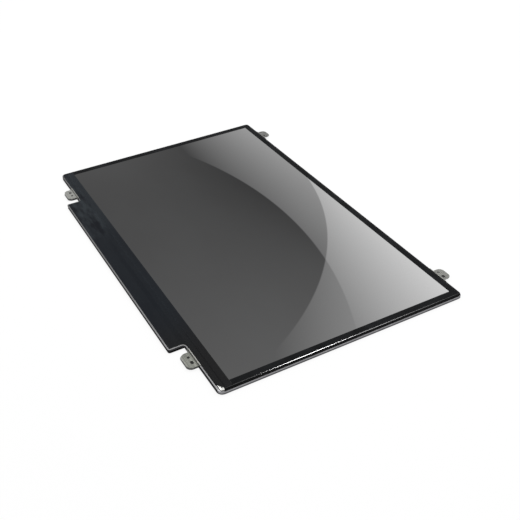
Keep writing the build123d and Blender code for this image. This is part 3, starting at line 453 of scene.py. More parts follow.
@dataclass(frozen=True)
class TrayMetal(SheetMetal):
    """Tray sheet with painted shade on its lower walls and side bends, and painted highlights on its lip and
    side rims.
    """

    # Colours of the painted shade on the walls, the painted highlight on the lip and the painted highlight on
    # the upper side walls
    painted_wall_shade: Colour = WHITE
    gloss_and_painted_highlight: Colour = WHITE
    bright: Colour = WHITE
    bottom_edge: float = -0.0936
    lip_height: float = 0.0026
    corner_start: float = 0.1582
    side_face: float = 0.1612
    side_height: float = 0.0011
    edge_blur: float = 0.0002
    corner_reach: float = 0.0008
    rim_reach: float = 0.0003
    patch_scale: float = 260.0

    def marks_and_painted_light(self, net: Net, place: Signal, sheet: Signal) -> Signal:
        """Colour of the sheet with its painted shade and painted highlights.

        Args:
            net: Tree to build in.
            place: Point on the object.
            sheet: Colour of the sheet as rolled.

        Returns:
            The colour.
        """
        x, y, z = net.axes(place)
        lower = 1.0 - y.rise(self.bottom_edge - self.edge_blur, self.bottom_edge)
        corner = lower * abs(x).rise(self.corner_start, self.corner_start + self.corner_reach)
        bottom = lower - corner
        lip = bottom * z.rise(self.lip_height, self.lip_height + self.edge_blur)
        side = corner.most(abs(x).rise(self.side_face, self.side_face + self.edge_blur))
        rim = side * z.rise(self.side_height, self.side_height + self.rim_reach)
        patchy = 0.6 + 0.4 * net.noise(place, self.patch_scale, 3.0, 9.0).rise(0.25, 0.7)
        # Painted shade along the lower edge below the lip and on the lower part of the side walls
        with_painted_shade = net.blend(0.85 * bottom * (1.0 - lip) + 0.6 * side * (1.0 - rim), sheet, self.painted_wall_shade)
        # Painted highlights on the lip and on the upper part of the side walls, patchy at random
        return net.blend(rim * patchy, net.blend(lip * patchy, with_painted_shade, self.gloss_and_painted_highlight), self.bright)


@dataclass(frozen=True)
class CreasedFoil(SheetMetal):
    """Bright foil with a dark spot at the middle of its inner edge."""

    dark_spot: Colour = WHITE
    dark_spot_place: tuple[float, float, float] = (0.1582, -0.094, 0.00326)
    dark_spot_radius: float = 0.0009

    def marks_and_painted_light(self, net: Net, place: Signal, sheet: Signal) -> Signal:
        """Colour of the foil with its dark spot.

        Args:
            net: Tree to build in.
            place: Point on the object.
            sheet: Colour of the foil as rolled.

        Returns:
            The colour.
        """
        sockets = {0: place, 1: self.dark_spot_place}
        distance = net.node("ShaderNodeVectorMath", {"operation": "DISTANCE"}, sockets, "Value")
        beyond_spot = distance.rise(0.4 * self.dark_spot_radius, self.dark_spot_radius)
        return net.blend(1.0 - beyond_spot, sheet, self.dark_spot)


@dataclass(frozen=True)
class BracketSteel(SheetMetal):
    """Bracket sheet, darker on the upper brackets, with painted shade on the lower legs and painted
    highlights on hooks and left tab.
    """

    # Tone of the upper brackets, colour of the painted highlights and colour of the painted shade on the
    # folded legs
    upper_bracket_tone: Colour = WHITE
    bright: Colour = WHITE
    painted_fold_shade: Colour = WHITE
    fold_height: float = 0.00255
    hook_edge: float = -0.0968
    middle_reach: float = 0.02
    side_reach: float = 0.1
    edge_blur: float = 0.0001

    def marks_and_painted_light(self, net: Net, place: Signal, sheet: Signal) -> Signal:
        """Colour of the sheet with its darker upper brackets, painted shade and painted highlights.

        Args:
            net: Tree to build in.
            place: Point on the object.
            sheet: Colour of the sheet as rolled.

        Returns:
            The colour.
        """
        x, y, z = net.axes(place)
        bottom = 1.0 - y.rise(-self.middle_reach, self.middle_reach)
        fold = bottom * z.rise(self.fold_height, self.fold_height + self.edge_blur)
        hook = fold * y.rise(self.hook_edge - self.edge_blur, self.hook_edge + self.edge_blur)
        right = x.rise(-self.side_reach, self.side_reach)
        # Painted highlights on the hooks of the lower brackets and on the tab of the lower left one
        painted_highlight_share = 0.75 * hook + 0.55 * bottom * (1.0 - fold) * (1.0 - right)
        # The upper brackets are darker
        tone = net.blend(0.8 * (1.0 - bottom), sheet, self.upper_bracket_tone)
        # Painted shade on the folded legs of the lower brackets, deeper on the right one
        tone = net.blend(fold * (0.3 + 0.45 * right), tone, self.painted_fold_shade)
        return net.blend(0.9 * painted_highlight_share, tone, self.bright)


@dataclass(frozen=True)
class Moulding(Finish):
    """Moulded plastic or resin with an eroded texture and a faint mottle."""

    dark: Colour
    light: Colour
    roughness: float
    gloss: float = 0.5
    texture_scale: float = 2600.0
    texture_depth: float = 8e-6
    mottle_scale: float = 150.0

    def shade(self, net: Net, place: Signal) -> Signal:
        """Build the surface shader.

        Args:
            net: Tree to build in.
            place: Point on the object.

        Returns:
            The shader.
        """
        texture = net.noise(place, self.texture_scale, 2.0)
        mottle = net.noise(place, self.mottle_scale, 2.0, 2.0)
        return net.principled(
            Base_Color=net.blend((0.5 * texture + 0.5 * mottle).rise(0.3, 0.7), self.dark, self.light),
            Roughness=self.roughness + 0.14 * (texture - 0.5) + 0.08 * (mottle - 0.5),
            Specular_IOR_Level=self.gloss,
            Normal=net.relief(texture, self.texture_depth, 0.5),
        )


@dataclass(frozen=True)
class ThinSheet(Finish):
    """Polished or satin sheet with a faint cloud, such as an optical film, a tape or glass."""

    dark: Colour
    light: Colour
    roughness: float
    cloud_scale: float = 45.0
    dust_scale: float = 420.0

    def shade(self, net: Net, place: Signal) -> Signal:
        """Build the surface shader.

        Args:
            net: Tree to build in.
            place: Point on the object.

        Returns:
            The shader.
        """
        cloud = net.noise(place, self.cloud_scale, 4.0)
        dust = 1.0 - net.cells(place, self.dust_scale, "F1").rise(0.03, 0.08)
        return net.principled(
            Base_Color=net.blend(cloud.rise(0.3, 0.7), self.dark, self.light),
            Roughness=self.roughness + 0.1 * (cloud - 0.5) + 0.25 * dust,
        )


@dataclass(frozen=True)
class CircuitBoard(Finish):
    """Solder mask over copper tracks that run along the board, with plated holes."""

    mask: Colour
    copper_under_mask: Colour
    plating: Colour
    track_pitch: float = 0.0009
    hole_scale: float = 260.0
    route_scale: tuple[float, float, float] = (60.0, 90.0, 0.0)
    track_depth: float = 2e-5

    def shade(self, net: Net, place: Signal) -> Signal:
        """Build the surface shader.

        Args:
            net: Tree to build in.
            place: Point on the object.

        Returns:
            The shader.
        """
        _, y, _ = net.axes(place)
        route = net.noise(net.stretched(place, self.route_scale), 1.0, 0.0)
        wander = net.math("FLOOR", route * 6.0) * 0.31
        along = net.math("FRACT", y / self.track_pitch + wander)
        track = along.rise(0.30, 0.36) * (1.0 - along.rise(0.64, 0.70))
        ring = net.cells(place, self.hole_scale, "F1")
        upper_bracket_tone = 1.0 - ring.rise(0.10, 0.12)
        covered = net.blend(track * route.rise(0.4, 0.5), self.mask, self.copper_under_mask)
        return net.principled(
            Base_Color=net.blend(upper_bracket_tone, covered, self.plating),
            Metallic=upper_bracket_tone * 0.9,
            Roughness=0.38 - 0.1 * upper_bracket_tone + 0.08 * (route - 0.5),
            Normal=net.relief(track, self.track_depth, 0.5),
        )


@dataclass(frozen=True)
class FoldedTape(Finish):
    """Matt black tape, glossy along its side folds over the glass, with painted shade on the flange outside
    of them.
    """

    dark: Colour
    light: Colour
    # Colour of the painted shade on the flange outside the folds
    painted_flange_shade: Colour
    half_width: float
    top_edge: float
    fold_outer: float
    fold_inner: float
    roughness: float = 0.55
    gloss: float = 0.02
    fold_gloss: float = 0.75
    fold_roughness: float = 0.09
    flange_blur: float = 0.0003
    corner_reach: float = 0.001
    crepe_scale: float = 1900.0
    crepe_depth: float = 6e-6
    smear_stretch: tuple[float, float, float] = (0.6, 0.6, 1.0)
    smear_scale: float = 110.0
    dust_scale: float = 300.0

    def shade(self, net: Net, place: Signal) -> Signal:
        """Build the surface shader.

        Args:
            net: Tree to build in.
            place: Point on the object.

        Returns:
            The shader.
        """
        x, y, _ = net.axes(place)
        side, top = self.half_width - abs(x), self.top_edge - y
        inward = side.least(top)
        gloss_and_painted_highlight = 1.0 - 0.85 * (side - top).rise(0.0, self.corner_reach)
        middle = 0.5 * (self.fold_outer + self.fold_inner)
        reach = self.fold_inner - self.fold_outer
        fold = 1.0 - abs(inward - middle).rise(0.12 * reach, 0.42 * reach)
        # Painted shade on the flange outside the fold
        flange = 1.0 - inward.rise(self.fold_outer - self.flange_blur, self.fold_outer)
        crepe = net.noise(place, self.crepe_scale, 3.0)
        smear = net.noise(net.stretched(place, self.smear_stretch), self.smear_scale, 4.0, 3.0)
        dust = (1.0 - net.cells(place, self.dust_scale, "F1").rise(0.02, 0.06)) * smear.rise(0.5, 0.62)
        sheet = net.blend((smear.rise(0.3, 0.75) + 0.8 * dust).within_one(), self.dark, self.light)
        return net.principled(
            Base_Color=net.blend(0.75 * flange, sheet, self.painted_flange_shade),
            Roughness=self.roughness + 0.12 * (crepe - 0.5) - 0.2 * fold,
            Specular_IOR_Level=self.gloss,
            Coat_Weight=self.fold_gloss * fold * gloss_and_painted_highlight,
            Coat_Roughness=self.fold_roughness,
            Normal=net.relief(crepe, self.crepe_depth, 0.35),
        )


@dataclass(frozen=True)
class CoverSheet(Finish):
    """Blue-black plastic film with a slight haze, patchy where it was handled and greyer at one end."""

    dark: Colour
    light: Colour
    near_dark: Colour
    near_light: Colour
    slope_middle: float = -0.091975
    slope_reach: float = 0.0003
    handled_x: tuple[float, float] = (-0.065, -0.03)
    handled_y: tuple[float, float] = (-0.095, -0.09)
    darker_x: tuple[float, float] = (-0.085, -0.04)
    near_x: tuple[float, float] = (0.06, 0.13)
    haze_scale: tuple[float, float, float] = (28.0, 120.0, 0.0)
    patch_scale: tuple[float, float, float] = (55.0, 210.0, 0.0)
    haze_depth: float = 3e-5
    roughness: float = 0.42
    gloss: float = 0.03

    def shade(self, net: Net, place: Signal) -> Signal:
        """Build the surface shader.

        Args:
            net: Tree to build in.
            place: Point on the object.

        Returns:
            The shader.
        """
        x, y, _ = net.axes(place)
        haze = net.noise(net.stretched(place, self.haze_scale), 1.0, 3.0, 5.0)
        patch = net.noise(net.stretched(place, self.patch_scale), 1.0, 3.0, 8.0)
        handled = (1.0 - x.rise(*self.handled_x)) * (1.0 - y.rise(*self.handled_y))
        # The slope of the film is painted lighter: painted light that cancels the shade falling on it
        slope = 1.0 - abs(y - self.slope_middle).rise(self.slope_reach, 1.6 * self.slope_reach)
        tone = 0.5 - 0.3 * x.rise(*self.darker_x) + 0.3 * (haze - 0.5)
        tone = tone + 4.0 * handled * (patch - 0.5) + 0.3 * slope
        far = net.blend(tone.within_one(), self.dark, self.light)
        near = net.blend(tone.within_one(), self.near_dark, self.near_light)
        return net.principled(
            Base_Color=net.blend(x.rise(*self.near_x), far, near),
            Roughness=self.roughness + 0.14 * (haze - 0.5) + 0.25 * handled * (patch - 0.5),
            Specular_IOR_Level=self.gloss,
            Normal=net.relief(0.7 * haze + 0.3 * patch, self.haze_depth, 0.3),
        )


@dataclass(frozen=True)
class GlossScreen(Finish):
    """Dark polished polarizer over an unlit cell, with its black border and faint smears."""

    picture: Colour
    border: Colour
    half_width: float
    half_height: float
    roughness: float = 0.006
    border_blur: float = 1e-5
    smear_scale: tuple[float, float, float] = (14.0, 30.0, 0.0)
    dust_scale: float = 160.0

    def shade(self, net: Net, place: Signal) -> Signal:
        """Build the surface shader.

        Args:
            net: Tree to build in.
            place: Point on the object.

        Returns:
            The shader.
        """
        x, y, _ = net.axes(place)
        beyond = (abs(x) - self.half_width).most(abs(y) - self.half_height)
        smear = net.noise(net.stretched(place, self.smear_scale), 1.0, 4.0, 6.0)
        dust = 1.0 - net.cells(place, self.dust_scale, "F1").rise(0.006, 0.018)
        glow = net.blend(smear.rise(0.3, 0.7), self.border, self.picture)
        return net.principled(
            Base_Color=net.blend(beyond.rise(-self.border_blur, self.border_blur), glow, self.border),
            Roughness=self.roughness + 0.01 * smear.rise(0.45, 0.8) + 0.05 * dust,
        )


ACTIVE_HALF_WIDTH = 0.1547
ACTIVE_HALF_HEIGHT = 0.086975
TAPE_HALF_WIDTH = 0.16125
TAPE_TOP_EDGE = 0.092825
FOLD_OUTER = 0.00095
FOLD_INNER = 0.00155

BLACK_TAPE = FoldedTape(
    "black_tape",
    tint(13, 14, 15),
    tint(26, 27, 29),
    # colour of the painted shade on the flange
    tint(3, 3, 3),
    TAPE_HALF_WIDTH,
    TAPE_TOP_EDGE,
    FOLD_OUTER,
    FOLD_INNER,
)
COVER_SHEET = CoverSheet("cover_film", tint(15, 18, 24), tint(43, 48, 52), tint(21, 21, 22), tint(30, 30, 31))
WELD_METAL = SheetMetal("weld_metal", tint(80, 78, 74), tint(150, 148, 140), 0.5, Grain.NONE)

SLOT_FINISHES: tuple[Finish, ...] = (
    TrayMetal(
        "tray_metal",
        tint(88, 87, 91),
        tint(128, 127, 131),
        0.38,
        Grain.ALONG_X,
        blotch_share=0.12,
        # painted shade on the walls, painted highlights on the lip and on the upper side walls
        painted_wall_shade=tint(40, 40, 42),
        gloss_and_painted_highlight=tint(118, 118, 118),
        bright=tint(150, 150, 152),
        edge_tint=(0.4, 0.4, 0.4, 1.0),
    ),
    BracketSteel(
        "bracket_steel",
        tint(88, 89, 84),
        tint(126, 127, 121),
        0.3,
        Grain.ALONG_X,
        # darker tone of the upper brackets, painted highlights, painted shade on the folded legs
        upper_bracket_tone=tint(84, 84, 82),
        bright=tint(172, 172, 168),
        painted_fold_shade=tint(44, 44, 44),
    ),
    ThinSheet("white_film", tint(214, 215, 214), tint(236, 236, 233), 0.45),
    ThinSheet("clear_acrylic", tint(190, 208, 207), tint(216, 228, 226), 0.12),
    ThinSheet("prism_film", tint(190, 195, 200), tint(214, 218, 222), 0.3),
    ThinSheet("grey_tape", tint(92, 93, 94), tint(122, 123, 124), 0.6),
    ThinSheet("amber_flex", tint(150, 92, 30), tint(190, 128, 52), 0.35),
    Moulding("lamp_white", tint(212, 210, 200), tint(236, 234, 224), 0.4),
    Moulding("frame_plastic", tint(9, 9, 10), tint(18, 18, 19), 0.6, gloss=0.06),
    ThinSheet("cell_glass", tint(30, 46, 44), tint(52, 74, 70), 0.08),
    GlossScreen("screen", tint(14, 15, 16), tint(6, 6, 7), ACTIVE_HALF_WIDTH, ACTIVE_HALF_HEIGHT),
    BLACK_TAPE,
    CreasedFoil(
        "foil", tint(92, 92, 89), tint(214, 214, 211), 0.24, Grain.NONE, dark_spot=tint(48, 48, 47)
    ),
    Moulding("chip_black", tint(24, 24, 25), tint(44, 44, 46), 0.5),
    CircuitBoard("board_green", tint(18, 62, 38), tint(40, 98, 58), tint(196, 164, 92)),
    Moulding("inductor_grey", tint(58, 59, 61), tint(84, 85, 88), 0.6),
    Moulding("capacitor_tan", tint(150, 122, 88), tint(184, 156, 118), 0.45),
    Moulding("socket_plastic", tint(26, 26, 27), tint(46, 46, 48), 0.45),
    SheetMetal("contact_metal", tint(178, 148, 78), tint(226, 198, 122), 0.28, Grain.NONE),
    SheetMetal("socket_metal", tint(150, 150, 150), tint(204, 204, 202), 0.3, Grain.ALONG_X),
)
FINISHES: dict[str, Finish] = {finish.name: finish for finish in SLOT_FINISHES}

# Factor that gives the hump t * (1 - t) * (1 - t) a height of 1
HUMP_GAIN = 6.75

CUT_TOLERANCE = 1e-8
MERGE_DISTANCE = 1e-6
FLAT_ANGLE = math.radians(0.4)


def sliced(mesh: bmesh.types.BMesh, faces: list[bmesh.types.BMFace], axis: int, cuts: list[float]) -> None:
    """Cut faces along a row of parallel planes, halving the row each time.

    Args:
        mesh: Mesh that holds the faces.
        faces: Faces to cut.
        axis: Axis that the planes stand across.
        cuts: Places of the planes on that axis, in rising order.
    """
    if not cuts or not faces:
        return
    middle = len(cuts) // 2
    across = Vector((0.0, 0.0, 0.0))
    across[axis] = 1.0
    parts = dict.fromkeys(part for face in faces for part in (face, *face.edges, *face.verts))
    result = bmesh.ops.bisect_plane(
        mesh, geom=list(parts), dist=CUT_TOLERANCE, plane_co=across * cuts[middle], plane_no=across
    )
    pieces = [part for part in result["geom"] if isinstance(part, bmesh.types.BMFace)]
    below = [face for face in pieces if face.calc_center_median()[axis] < cuts[middle]]
    above = [face for face in pieces if face.calc_center_median()[axis] >= cuts[middle]]
    sliced(mesh, below, axis, cuts[:middle])
    sliced(mesh, above, axis, cuts[middle + 1:])


def gridded_copy(node: str, name: str, steps: tuple[float, float]) -> bpy.types.Object:
    """Copy a solid as a closed mesh that is divided finely enough to bend.

    Args:
        node: Solid to copy.
        name: Name of the new piece.
        steps: Spacing of the cuts along X and along Y.

    Returns:
        The new piece.
    """
    source = frame["nodes"][node].data
    points = [vertex.co.copy() for vertex in source.vertices]
    triangles = [tuple(polygon.vertices) for polygon in source.polygons]
    copy = bpy.data.meshes.new(name)
    copy.from_pydata(points, [], triangles)
    mesh = bmesh.new()
    mesh.from_mesh(copy)
    bmesh.ops.remove_doubles(mesh, verts=mesh.verts, dist=MERGE_DISTANCE)
    bmesh.ops.dissolve_limit(mesh, angle_limit=FLAT_ANGLE, verts=mesh.verts, edges=mesh.edges)
    low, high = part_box(node)
    for axis, step in enumerate(steps):
        count = max(1, round((high[axis] - low[axis]) / step))
        pitch = (high[axis] - low[axis]) / count
        sliced(mesh, list(mesh.faces), axis, [low[axis] + pitch * index for index in range(1, count)])
    bmesh.ops.recalc_face_normals(mesh, faces=mesh.faces)
    mesh.to_mesh(copy)
    mesh.free()
    piece = bpy.data.objects.new(name, copy)
    bpy.context.scene.collection.objects.link(piece)
    return piece


def settle(piece: bpy.types.Object, slot: str, *nodes: str, crease_angle: float = 35.0) -> None:
    """Smooth a piece between its creases and join it to the frame.

    Args:
        piece: Finished piece.
        slot: Material slot that its finish belongs to.
        nodes: Solids that the piece stands for.
        crease_angle: Angle in degrees from which an edge stays sharp.
    """
    piece.data.shade_smooth()
    piece.data.set_sharp_from_angle(angle=math.radians(crease_angle))
    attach(piece, BODY)
    if nodes:
        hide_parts(*nodes)
    faces = len(piece.data.polygons)
    LOG.info("%s: %d faces, slot %s, stands for %s", piece.name, faces, slot, nodes or "itself")


class SubAssembly:
    """Part of the panel that dresses its own solids and adds its own pieces."""

    nodes: ClassVar[tuple[str, ...]]

    def dress(self) -> None:
        """Give each solid of the sub-assembly the finish of its material slot."""
        slots = {part["node"]: part["material_slot"] for part in frame["record"]["subparts"]}
        for node in self.nodes:
            solid = frame["nodes"][node]
            material = FINISHES[slots[node]].material()
            if not solid.material_slots:
                solid.data.materials.append(material)
            for place in solid.material_slots:
                place.material = material
            LOG.info("%s: %s", node, material.name)

    def build(self) -> None:
        """Add the pieces that plain solids can't show, where there are any."""


@dataclass
class Backlight(SubAssembly):
    """Lamps, light guide, optical sheets and the frame that holds them."""

    nodes: ClassVar[tuple[str, ...]] = (
        "reflector_sheet",
        "light_guide",
        "lower_diffuser",
        "lower_prism_sheet",
        "upper_prism_sheet",
        "upper_diffuser",
        "led_strip_tape",
        "led_strip",
        "led_packages",
        "support_frame",
    )


@dataclass
class Cell(SubAssembly):
    """Liquid crystal cell with its polarizers and driver films."""

    nodes: ClassVar[tuple[str, ...]] = (
        "cell_tape",
        "rear_polarizer",
        "array_glass",
        "filter_glass",
        "front_polarizer",
        "source_films",
        "source_chips",
    )


@dataclass
class BoardStrip(SubAssembly):
    """Control board along the bottom edge, its parts and the video socket."""

    nodes: ClassVar[tuple[str, ...]] = (
        "board_tape",
        "control_board",
        "timing_chip",
        "memory_chip",
        "power_chip",
        "lamp_driver_chip",
        "power_inductors",
        "board_capacitors",
        "board_resistors",
        "video_socket",
        "video_socket_contacts",
        "video_socket_shell",
    )


@dataclass
class MetalCase(SubAssembly):
    """Stamped tray and its four welded brackets."""

    lower_brackets: ClassVar[tuple[str, ...]] = ("bracket_lower_left", "bracket_lower_right")
    upper_brackets: ClassVar[tuple[str, ...]] = ("bracket_upper_left", "bracket_upper_right")
    nodes: ClassVar[tuple[str, ...]] = ("rear_tray", *lower_brackets, *upper_brackets)
    hook_middle: float = -0.0969
    hook_top: float = 0.0032
    leg_face: float = 0.093725
    leg_middle: float = 0.0013
    weld_count: float = 3.0
    weld_spacing: float = 0.0058
    weld_radius: float = 0.0004
    weld_crown: float = 0.00004
    weld_segments: int = 16
    weld_rings: int = 8

    def build(self) -> None:
        """Add a row of weld spots on top of each lower hook and one on each upper leg."""
        flat = (self.weld_radius, self.weld_radius, self.weld_crown)
        upright = (self.weld_radius, self.weld_crown, self.weld_radius)
        self.build_welds("hook_weld_spots", self.lower_brackets, (self.hook_middle, self.hook_top), flat)
        self.build_welds("leg_weld_spots", self.upper_brackets, (self.leg_face, self.leg_middle), upright)

    def build_welds(
        self, name: str, nodes: tuple[str, ...], place: tuple[float, float], size: tuple[float, float, float]
    ) -> None:
        """Add a row of weld spots at the middle of each of some brackets.

        Args:
            name: Name of the piece.
            nodes: Brackets that carry the rows.
            place: Y and Z of the rows.
            size: Half sizes of a spot along X, Y and Z.
        """
        boxes = [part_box(node) for node in nodes]
        mesh = bpy.data.meshes.new(name)
        mesh.from_pydata([((low[0] + high[0]) / 2, *place) for low, high in boxes], [], [])
        piece = bpy.data.objects.new(name, mesh)
        bpy.context.scene.collection.objects.link(piece)
        self.weld_recipe(name, size).apply(piece)
        settle(piece, "bracket_steel")

    def weld_recipe(self, name: str, size: tuple[float, float, float]) -> Recipe:
        """Tree that sets a row of shallow weld spots at each point.

        Args:
            name: Name of the tree.
            size: Half sizes of a spot along X, Y and Z.

        Returns:
            The tree.
        """
        sizes = {"Count": self.weld_count, "Spacing": self.weld_spacing}
        sizes.update(zip(("Reach X", "Reach Y", "Reach Z"), size))
        recipe = Recipe(name, sizes)
        net = recipe.net
        pitch = recipe.size("Spacing")
        half_row = (recipe.size("Count") - 1.0) * pitch * -0.5
        row = net.node(
            "GeometryNodeMeshLine",
            inputs={
                "Count": recipe.size("Count"),
                "Start Location": net.vector(half_row, 0.0, 0.0),
                "Offset": net.vector(pitch, 0.0, 0.0),
            },
        )
        sockets = {"Segments": self.weld_segments, "Rings": self.weld_rings, "Radius": 1.0}
        spot = net.node("GeometryNodeMeshUVSphere", inputs=sockets)
        sockets = {"Points": recipe.given, "Instance": row}
        rows = net.node("GeometryNodeInstanceOnPoints", inputs=sockets)
        seats = net.node("GeometryNodeRealizeInstances", inputs={"Geometry": rows})
        reach = net.vector(recipe.size("Reach X"), recipe.size("Reach Y"), recipe.size("Reach Z"))
        sockets = {"Points": seats, "Instance": spot, "Scale": reach}
        spots = net.node("GeometryNodeInstanceOnPoints", inputs=sockets)
        recipe.close(spots, WELD_METAL.material())
        return recipe


@dataclass
class FrontTapes(SubAssembly):
    """Black tape round the screen, the film over the board and the bare foil at one corner."""

    nodes: ClassVar[tuple[str, ...]] = ("edge_tape", "cover_film", "ground_foil")
    tape_steps: tuple[float, float] = (0.001, 0.0005)
    film_steps: tuple[float, float] = (0.002, 0.0007)
    foil_steps: tuple[float, float] = (0.00025, 0.00025)
    fold_swell: float = 0.00007
    ripple_height: float = 0.00005
    ripple_scale: float = 420.0
    wrinkle_gain: float = 2.0
    wrinkle_edge: float = -0.049
    wrinkle_reach: float = 0.01
    tape_seed: float = 11.0
    tape_crease_angle: float = 60.0
    crease_height: float = 0.00014
    crease_scale: float = 70.0
    crease_slant: tuple[float, float, float] = (0.45, 0.5, 2.6)
    film_seed: float = 3.0
    film_grip: float = 0.003
    film_end_grip: tuple[float, float] = (0.001, 0.008)
    film_handled: tuple[float, float] = (-0.07, 0.0)
    film_free_edge: float = -0.1068
    film_stuck_edge: float = -0.0967
    film_end: float = 0.1079
    crinkle_height: float = 0.00012
    crinkle_scale: float = 900.0
    foil_seed: float = 7.0
    foil_crease_angle: float = 50.0

    def build(self) -> None:
        """Add the rippled tape, the creased film and the crinkled foil."""
        tape = gridded_copy("edge_tape", "edge_tape_folded", self.tape_steps)
        self.fold_recipe().apply(tape)
        settle(tape, "black_tape", "edge_tape", crease_angle=self.tape_crease_angle)
        film = gridded_copy("cover_film", "cover_film_creased", self.film_steps)
        self.crease_recipe().apply(film)
        settle(film, "black_tape", "cover_film")
        foil = gridded_copy("ground_foil", "ground_foil_crinkled", self.foil_steps)
        self.crinkle_recipe().apply(foil)
        settle(foil, "foil", "ground_foil", crease_angle=self.foil_crease_angle)

    def fold_recipe(self) -> Recipe:
        """Tree that swells the tape where it is drawn down over the edge of the glass.

        Returns:
            The tree.
        """
        recipe = Recipe(
            "tape_fold",
            {
                "Half Width": TAPE_HALF_WIDTH,
                "Top Edge": TAPE_TOP_EDGE,
                "Fold Outer": FOLD_OUTER,
                "Fold Inner": FOLD_INNER,
                "Swell": self.fold_swell,
                "Ripple Height": self.ripple_height,
                "Ripple Scale": self.ripple_scale,
                "Wrinkle Gain": self.wrinkle_gain,
                "Seed": self.tape_seed,
            },
        )
        net = recipe.net
        x, y, _ = recipe.position()
        inward = (recipe.size("Half Width") - abs(x)).least(recipe.size("Top Edge") - y)
        outer = recipe.size("Fold Outer")
        climb = ((inward - outer) / (recipe.size("Fold Inner") - outer)).within_one()
        swell = HUMP_GAIN * climb * (1.0 - climb) * (1.0 - climb)
        along = net.vector((x + y) * recipe.size("Ripple Scale"), 0.0, 0.0)
        ripple = net.noise(along, 1.0, 1.0, recipe.size("Seed")) - 0.5
        loose = 1.0 - y.rise(self.wrinkle_edge - self.wrinkle_reach, self.wrinkle_edge)
        wrinkled = 1.0 + recipe.size("Wrinkle Gain") * loose
        height = recipe.size("Swell") + recipe.size("Ripple Height") * wrinkled * ripple
        recipe.close(recipe.lifted(swell * height), BLACK_TAPE.material())
        return recipe

    def crease_recipe(self) -> Recipe:
        """Tree that raises long shallow creases in the film between its stuck edges.

        Returns:
            The tree.
        """
        recipe = Recipe(
            "film_crease",
            {
                "Crease Height": self.crease_height,
                "Crease Scale": self.crease_scale,
                "Film End": self.film_end,
                "Seed": self.film_seed,
            },
        )
        net = recipe.net
        x, y, _ = recipe.position()
        loose = y.rise(self.film_free_edge, self.film_free_edge + self.film_grip)
        loose = loose * (1.0 - y.rise(self.film_stuck_edge - self.film_grip, self.film_stuck_edge))
        ends = (recipe.size("Film End") - abs(x)).rise(*self.film_end_grip)
        handled = 1.0 - 0.75 * x.rise(*self.film_handled)
        scale = recipe.size("Crease Scale")
        along, slant, across = self.crease_slant
        drawn = net.vector(x * scale * along + y * scale * slant, y * scale * across, 0.0)
        ridge = 1.0 - 2.0 * abs(net.noise(drawn, 1.0, 2.0, recipe.size("Seed")) - 0.5)
        lift = recipe.size("Crease Height") * (ridge.most(0.0) ** 3.0)
        recipe.close(recipe.lifted(lift * loose * ends * handled), COVER_SHEET.material())
        return recipe

    def crinkle_recipe(self) -> Recipe:
        """Tree that crumples the foil upward in small facets.

        Returns:
            The tree.
        """
        recipe = Recipe(
            "foil_crinkle",
            {
                "Crinkle Height": self.crinkle_height,
                "Crinkle Scale": self.crinkle_scale,
                "Seed": self.foil_seed,
            },
        )
        net = recipe.net
        x, y, _ = recipe.position()
        scale = recipe.size("Crinkle Scale")
        lump = net.noise(net.vector(x * scale, y * scale, 0.0), 1.0, 2.0, recipe.size("Seed"))
        recipe.close(recipe.lifted(recipe.size("Crinkle Height") * lump), FINISHES["foil"].material())
        return recipe


@dataclass(frozen=True)
class ViewCamera:
    """Camera at the photograph's viewing angle."""

    azimuth: float = 62.9805
    elevation: float = 35.1219
    roll: float = -2.7282
    distance: float = 0.6229914
    target: tuple[float, float, float] = (0.046189, -0.0059527, 0.0)
    lens: float = 56.5956
    sensor_width: float = 36.0
    clip_start: float = 0.01

    def back(self) -> Vector:
        """Direction from the target to the camera."""
        turn, lift = math.radians(self.azimuth), math.radians(self.elevation)
        return Vector((math.sin(turn) * math.cos(lift), -math.cos(turn) * math.cos(lift), math.sin(lift)))

    def position(self) -> Vector:
        """Where the camera stands."""
        return Vector(self.target) + self.distance * self.back()

    def build(self) -> None:
        """Make the camera and set it as the scene's own."""
        back = self.back()
        side = Vector((0.0, 0.0, 1.0)).cross(back).normalized()
        up = back.cross(side)
        roll = math.radians(self.roll)
        right = math.cos(roll) * side + math.sin(roll) * up
        above = -math.sin(roll) * side + math.cos(roll) * up
        data = bpy.data.cameras.new("view_camera")
        data.lens = self.lens
        data.sensor_width = self.sensor_width
        data.clip_start = self.clip_start
        camera = bpy.data.objects.new("view_camera", data)
        turn = Matrix((right, above, back)).transposed().to_4x4()
        camera.matrix_world = Matrix.Translation(self.position()) @ turn
        bpy.context.scene.collection.objects.link(camera)
        bpy.context.scene.camera = camera


@dataclass(frozen=True)
class RoundEdge:
    """Lit zone of the gloss card outside a circle; it brightens evenly across the screen's plane."""

    centre: tuple[float, float]
    radius: float
    level: float
    slope: tuple[float, float]
    softness: float = 0.0006

    def light(self, net: Net, x: Signal, y: Signal) -> Signal:
        """Light of this zone.

        Args:
            net: Tree to build in, which is not used here.
            x: Place across the screen.
            y: Place up the screen.

        Returns:
            The light's strength.
        """
        right, up = x - self.centre[0], y - self.centre[1]
        distance = (right * right + up * up) ** 0.5
        ramp = self.level + self.slope[0] * x + self.slope[1] * y
        return ramp.most(0.0) * (distance - self.radius).rise(-self.softness, self.softness)


@dataclass(frozen=True)
class Lamp:
    """Oblong soft lamp that shines at a point."""

    name: str
    place: tuple[float, float, float]
    aim: tuple[float, float, float]
    width: float
    depth: float
    watts: float
    gloss_only: bool = False

    def build(self) -> None:
        """Add the lamp to the scene."""
        data = bpy.data.lights.new(self.name, "AREA")
        data.shape = "RECTANGLE"
        data.size = self.width
        data.size_y = self.depth
        data.energy = self.watts
        lamp = bpy.data.objects.new(self.name, data)
        lamp.location = self.place
        shine = Vector(self.aim) - Vector(self.place)
        lamp.rotation_euler = shine.to_track_quat("-Z", "Y").to_euler()
        lamp.visible_diffuse = not self.gloss_only
        bpy.context.scene.collection.objects.link(lamp)


